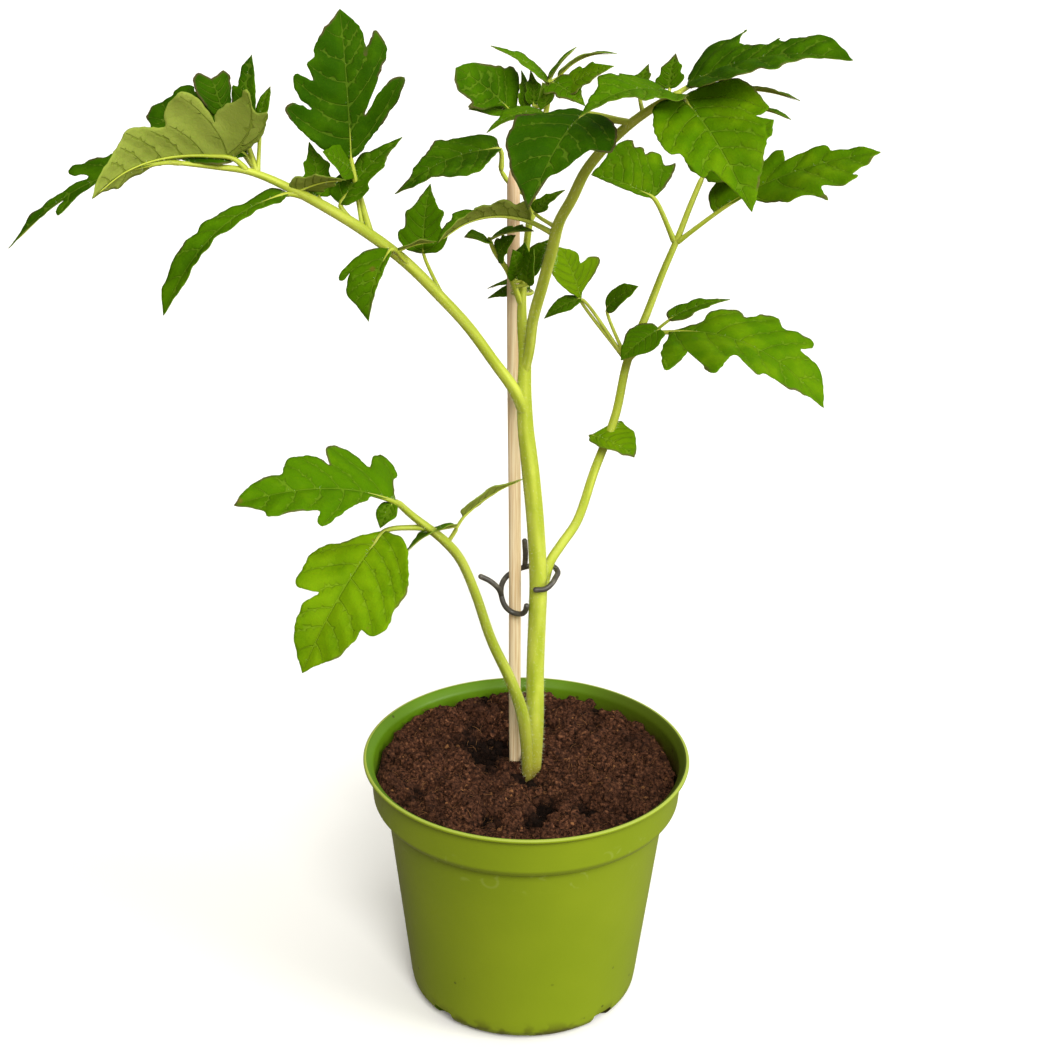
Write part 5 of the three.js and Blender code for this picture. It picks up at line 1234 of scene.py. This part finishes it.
def turned(profile, sides, bottom, top):
    """Points and faces of a closed round body: a profile turned round the upright axis, and closed at
    the two heights given."""
    angles = np.linspace(0, 2 * np.pi, sides, endpoint=False)
    rings = [np.stack([r * np.cos(angles), r * np.sin(angles), np.full(sides, z)], axis=1)
             for r, z in profile]
    points = np.vstack(rings + [[(0, 0, bottom)], [(0, 0, top)]])
    faces = grid_faces(len(profile), sides, closed_columns=True)
    last = (len(profile) - 1) * sides
    low_pole, high_pole = len(points) - 2, len(points) - 1
    for side in range(sides):
        after = (side + 1) % sides
        faces.append((low_pole, after, side))
        faces.append((high_pole, last + side, last + after))
    return points, faces


def foot_cutter():
    """Blocks with rounded upright edges, where the foot's slots and gaps go."""
    cutter = bmesh.new()
    for cut in range(FOOT_CUT_COUNT):
        deep = cut % 2 == 1
        width, height, reach = DEEP_SLOT if deep else SHALLOW_GAP
        angle = FIRST_FOOT_CUT + 360 * cut / FOOT_CUT_COUNT + (DEEP_SLOT_TURN if deep else 0)
        turn = Matrix.Rotation(math.radians(angle), 4, "Z")
        centre = Matrix.Translation((0, (reach / 2 - FOOT_CUT_OUTER) * MM, 0))
        size = Matrix.Diagonal((width * MM, reach * MM, 2 * height * MM, 1))
        made = bmesh.ops.create_cube(cutter, size=1, matrix=turn @ centre @ size)
        edges = list({edge for corner in made["verts"] for edge in corner.link_edges})
        bmesh.ops.bevel(cutter, geom=edges, offset=FOOT_CUT_ROUNDING * MM, segments=3, profile=0.5,
                        affect="EDGES")
    mesh = bpy.data.meshes.new("foot_cutter")
    cutter.to_mesh(mesh)
    cutter.free()
    return show("foot_cutter", mesh)


def make_pot():
    """The pot's shell: a turned wall with its foot cut through, and an inner wall in a darker copy of the
    plastic, which is painted shade.
    """
    form = Form()
    form.add(*turned(softened(POT_PROFILE, CORNER_CUT), POT_SIDES, 0, FLOOR_TOP))
    body = form.piece("pot_body", POT_OUTER, POT_INNER_SHADED)
    cutter = foot_cutter()
    modifier = body.modifiers.new("Foot", "BOOLEAN")
    modifier.object = cutter
    modifier.solver = "EXACT"
    evaluated = body.evaluated_get(bpy.context.evaluated_depsgraph_get())
    mesh = bpy.data.meshes.new_from_object(evaluated)
    for thing in (body, cutter):
        bpy.data.objects.remove(thing)
    for face in mesh.polygons:
        outward = face.normal.x * face.center.x + face.normal.y * face.center.y
        inner = outward < 0 and face.center.z > FLOOR_TOP * MM
        face.material_index = 1 if inner else 0
        face.use_smooth = True
    pot = show("pot_shell", mesh)
    mesh.set_sharp_from_angle(angle=math.radians(SHARP_EDGE))
    dressed(pot, "pot_plastic", "pot")


# ---------- soil ----------

SOIL_TOP_RADIUS = 55
SOIL_RINGS = 100
SOIL_SIDES = 260
SOIL_SIDE = [(BODY_TOP_RADIUS - WALL - 0.3, POT_HEIGHT - COLLAR_HEIGHT - 1.4),
             (BODY_FOOT_RADIUS - WALL - 0.3, FOOT_CORNER + 1.8), (39, 3.8), (FOOT_RADIUS - 1, 1.8)]


SOIL_DIPS = [  # depth, place and width of each hollow; a clump has a depth below none
    (8, -15, 20, 10), (4, -4, 24, 7), (5, 2, 2, 7), (7, 6, -18, 6), (6, 3, -30, 6), (4, 22, -22, 5),
    (5, -14, -30, 4), (-3.5, 10, -44, 7), (-3, -26, -24, 9), (-3, 30, -10, 8), (-3, -34, 6, 7),
    (4, -38, -12, 4), (3, 36, -26, 5)]
DIP_SHADE = 0.45  # how much more painted shade a hollow gets than a pit of the same depth between two lumps
BACK_RISE, LEFT_RISE = 0.1, 0.04
EDGE_DROP = 1.2
LUMPS = [(2.2, 9, 2), (1.6, 4, 5), (0.7, 1.9, 8), (0.35, 0.9, 12)]  # height, size and seed


def soil_dip(x, y):
    """How deep the soil lies at a place, where hollows are."""
    return sum(depth * np.exp(-((x - across) ** 2 + (y - along) ** 2) / width ** 2)
               for depth, across, along, width in SOIL_DIPS)


def soil_height(x, y):
    """The surface's main form: higher at the back, with hollows round the stem and clumps between."""
    slope = BACK_RISE * np.maximum(y, 0) + LEFT_RISE * np.maximum(-x, 0)
    waves = 0.8 * np.sin(0.31 * x + 1) * np.cos(0.27 * y) + 0.5 * np.sin(0.5 * x - 0.4 * y)
    return SOIL_LEVEL + slope + waves - soil_dip(x, y)


def crumbled(points):
    """Lumps and pits of several sizes, added to a surface's height."""
    return sum(height * rough(points, size, seed) for height, size, seed in LUMPS)


def make_soil():
    """The compost: a crumbled bed that fills the pot, with loose lumps, crumbs and fibres on it."""
    angles = np.linspace(0, 2 * np.pi, SOIL_SIDES, endpoint=False)
    rings = []
    for radius in np.linspace(0.5, SOIL_TOP_RADIUS, SOIL_RINGS):
        x, y = radius * np.cos(angles), radius * np.sin(angles)
        rings.append(np.stack([x, y, soil_height(x, y)], axis=1))
    rings[-1][:, 2] -= EDGE_DROP
    top = np.vstack(rings)
    lumps = crumbled(top)
    # How deep each point lies among the lumps and hollows, for the peat's painted shade.
    painted_shade_depth = lumps - DIP_SHADE * soil_dip(top[:, 0], top[:, 1])
    top[:, 2] += lumps
    lower = [np.stack([r * np.cos(angles), r * np.sin(angles), np.full(SOIL_SIDES, z)], axis=1)
             for r, z in SOIL_SIDE]
    points = np.vstack([top] + lower)
    poles = np.array([[0, 0, top[:SOIL_SIDES, 2].mean()], [0, 0, SOIL_SIDE[-1][1]]])
    faces = [tuple(reversed(face)) for face in grid_faces(SOIL_RINGS + len(lower), SOIL_SIDES, True)]
    last = len(points) - SOIL_SIDES
    for side in range(SOIL_SIDES):
        after = (side + 1) % SOIL_SIDES
        faces.append((len(points), side, after))
        faces.append((len(points) + 1, last + after, last + side))
    depth = np.concatenate([painted_shade_depth, np.zeros(len(points) - len(top) + 2)])
    form = Form("depth", "crumb")
    form.add(np.vstack([points, poles]), faces, depth=depth)
    soil = form.piece("soil_bed", PEAT)
    dressed(soil, "peat_compost", "soil")

    emitter_form = Form("depth")
    inner = (SOIL_RINGS - 2) * SOIL_SIDES
    inner_faces = [tuple(reversed(face)) for face in grid_faces(SOIL_RINGS - 2, SOIL_SIDES, True)]
    emitter_form.add(top[:inner], inner_faces, depth=painted_shade_depth[:inner])
    emitter = emitter_form.piece("soil_emitter")
    for name, tree, material, sizes in (
            ("soil_lumps", crumb_tree("Lumps", 2, LUMP_SEED, 0.9), PEAT,
             {"Density": 6e4, "Radius": 2.5 * MM}),
            ("soil_crumbs", crumb_tree("Crumbs", 1, CRUMB_SEED, 1), PEAT,
             {"Density": 6e5, "Radius": 1 * MM}),
            ("soil_fibres", fibre_tree(), PEAT_FIBRE,
             {"Density": 7e4, "Length": 6 * MM, "Radius": 0.08 * MM})):
        dressed(grown(name, emitter, tree, material, **sizes), "peat_compost")
    bpy.data.objects.remove(emitter)


# ---------- stem, stick and clip ----------

STICK_POINTS = [(-3, 15, 12), (-7.4, 15, 317)]
STICK_RADIUS = 2.2
STICK_SWAY = 0.15
STICK_SWAY_LENGTH = 23
STICK_STEPS = 60
STEM_SIDES = 24
STEM_GROOVES = (5, 0.05)
CLIP_RADIUS = 1
CLIP_SIDES = 14
CLIP_STEP = 0.6
CLIP_RING = [
    (1.6, 3.4, 164.9), (6, 3.4, 165.4), (8.4, 5, 167), (9.6, 8, 167.8), (10.4, 12, 168),
    (8.4, 16.4, 168.2), (4, 17.8, 167.8), (-1.6, 19, 166.4), (-4.8, 19.4, 164.8),
    (-8, 18.4, 162.9), (-9.8, 15, 161.2), (-10, 12, 158.7), (-8.6, 10.8, 154.7),
    (-6.1, 10.6, 152.3), (-3.1, 9.4, 152.1), (-1.3, 7, 154.3), (-0.6, 5, 158.2)]
CLIP_PRONGS = [
    [(-18, 8, 168), (-14, 9, 165.4), (-11, 10, 162), (-9.8, 12, 158)],
    [(-1.6, 19, 166.4), (-1.4, 17.6, 172), (-1.8, 17, 178.6)]]


def make_stem():
    """The main stem as a piece, and its plain form for the hairs to stand on."""
    path = even_steps(smooth_path(MAIN_STEM["stalk"]), STALK_STEP)
    radii = spread(MAIN_STEM["radii"], np.linspace(0, 1, len(path)))
    form = Form("tone", "streak")
    add_tube(form, path, radii, STEM_SIDES, 0, MAIN_STEM["stalk_tone"], *STEM_GROOVES)
    dressed(form.piece("main_stem_grown", STEM_SKIN), "plant_stem", "main_stem")
    return tube(path, radii, STEM_SIDES)


def make_stick():
    """A round stick that isn't quite straight."""
    path = points_at(np.array(STICK_POINTS, float), np.linspace(0, 1, STICK_STEPS))
    path[:, 0] += STICK_SWAY * np.sin(path[:, 2] / STICK_SWAY_LENGTH)
    form = Form()
    form.add(*tube(path, np.full(STICK_STEPS, STICK_RADIUS), STEM_SIDES))
    dressed(form.piece("stick_turned", CANE), "cane_wood", "support_stick")


def make_clip():
    """A ring round stem and stick with two prongs to open it by."""
    form = Form()
    for line in (CLIP_RING, *CLIP_PRONGS):
        path = even_steps(smooth_path(line), CLIP_STEP)
        form.add(*tube(path, np.full(len(path), CLIP_RADIUS), CLIP_SIDES))
    dressed(form.piece("clip_moulded", CLIP_PLASTIC), "clip_plastic", "plant_clip")


# ---------- the whole plant ----------

make_pot()
make_soil()
make_stick()
make_clip()
hair_bed = Form()
hair_bed.add(*make_stem())
for leaf in LEAVES:
    grown_leaf, stalks = grow_leaf(leaf)
    dressed(grown_leaf, "plant_leaf", leaf["name"])
    hair_bed.add(np.vstack(stalks.points), stalks.faces)
bed = hair_bed.piece("hair_bed")
hairs = grown("stem_hairs", bed, hair_tree(), HAIR_SKIN, Density=8e5, Length=1.3 * MM, Radius=0.04 * MM)
bpy.data.objects.remove(bed)
dressed(hairs, "plant_stem")


# ---------- floor, light and camera ----------

FLOOR_REACH = 6


def make_floor():
    """A plain pale floor, white to the eye and a duller warm grey as light."""
    mesh = bpy.data.meshes.new("floor")
    corners = [(x * FLOOR_REACH, y * FLOOR_REACH, 0) for x, y in ((-1, -1), (1, -1), (1, 1), (-1, 1))]
    mesh.from_pydata(corners, [], [(0, 1, 2, 3)])
    material, tree, paper = new_material("Matt white paper", Base_Color=colour("#fafaf8"),
                                         Roughness=0.9, Specular_IOR_Level=0.0)
    bounce = add_node(tree, "ShaderNodeBsdfDiffuse", {"Color": colour("#8c8378")})
    seen = add_node(tree, "ShaderNodeLightPath").outputs["Is Camera Ray"]
    choice = add_node(tree, "ShaderNodeMixShader", enumerate((seen, bounce, paper)))
    tree.links.new(choice.outputs["Shader"], tree.nodes["Material Output"].inputs["Surface"])
    mesh.materials.append(material)
    show("floor", mesh)


PLANT_MIDDLE = (0, 0, 0.2)
BRIGHT_SIDE = (0.75, -0.3, 0.6)


def make_sun(name, place_at, power, tint, softness):
    """A distant light that shines at the plant's middle. Its softness is an angle in degrees."""
    lamp = bpy.data.lights.new(name, "SUN")
    lamp.energy = power
    lamp.color = tint
    lamp.angle = math.radians(softness)
    thing = bpy.data.objects.new(name, lamp)
    bpy.context.scene.collection.objects.link(thing)
    way = Vector(PLANT_MIDDLE) - Vector(place_at)
    turn = way.to_track_quat("-Z", "Y").to_matrix().to_4x4()
    thing.matrix_world = Matrix.Translation(place_at) @ turn


def make_world():
    """White to the eye. As light it is brightest from the upper right, and dim and brown from the
    left, like a room with a wooden table on that side."""
    world = bpy.data.worlds.new("Studio")
    world.use_nodes = True
    tree = world.node_tree
    way = add_node(tree, "ShaderNodeTexCoord").outputs["Generated"]
    side = add_node(tree, "ShaderNodeVectorMath", enumerate((way, BRIGHT_SIDE)),
                    operation="DOT_PRODUCT").outputs["Value"]
    share = add_node(tree, "ShaderNodeMapRange", zip(RANGE, (side, -0.7, 0.9, 0, 1)), **SMOOTH)
    light = add_node(tree, "ShaderNodeMix", zip(MIX, (share, colour("#412513"), colour("#f2f1ea"))),
                     **COLOURS)
    seen = add_node(tree, "ShaderNodeLightPath").outputs["Is Camera Ray"]
    backdrop = add_node(tree, "ShaderNodeMix", zip(MIX, (seen, light, colour("#ffffff"))), **COLOURS)
    tree.links.new(backdrop.outputs["Result"], tree.nodes["Background"].inputs["Color"])
    bpy.context.scene.world = world


CAMERA_PLACE = Vector((0, -0.8, 0.563))
CAMERA_DOWN = math.radians(24.875)
CAMERA_ROLL = math.radians(0.8)
CAMERA_TURN = math.radians(0.12)
CAMERA_LENS = 85.7
SENSOR_WIDTH = 36


def make_camera():
    """The camera, in front of the plant and above it, looking down, with a slight turn and roll."""
    camera = bpy.data.objects.new("camera", bpy.data.cameras.new("camera"))
    camera.data.lens = CAMERA_LENS
    camera.data.sensor_width = SENSOR_WIDTH
    camera.data.clip_end = 30
    turn = Matrix.Rotation(CAMERA_TURN, 4, "Z")
    tip = Matrix.Rotation(math.pi / 2 - CAMERA_DOWN, 4, "X")
    roll = Matrix.Rotation(CAMERA_ROLL, 4, "Z")
    camera.matrix_world = Matrix.Translation(CAMERA_PLACE) @ turn @ tip @ roll
    bpy.context.scene.collection.objects.link(camera)
    bpy.context.scene.camera = camera


make_floor()
make_world()
make_sun("key", (0.15, -1.0, 1.1), 2.6, (1, 0.98, 0.94), 24)
make_sun("side", (1.2, -0.5, 0.7), 1.9, (1, 0.98, 0.95), 30)
make_camera()
bpy.context.scene.view_settings.view_transform = "Standard"
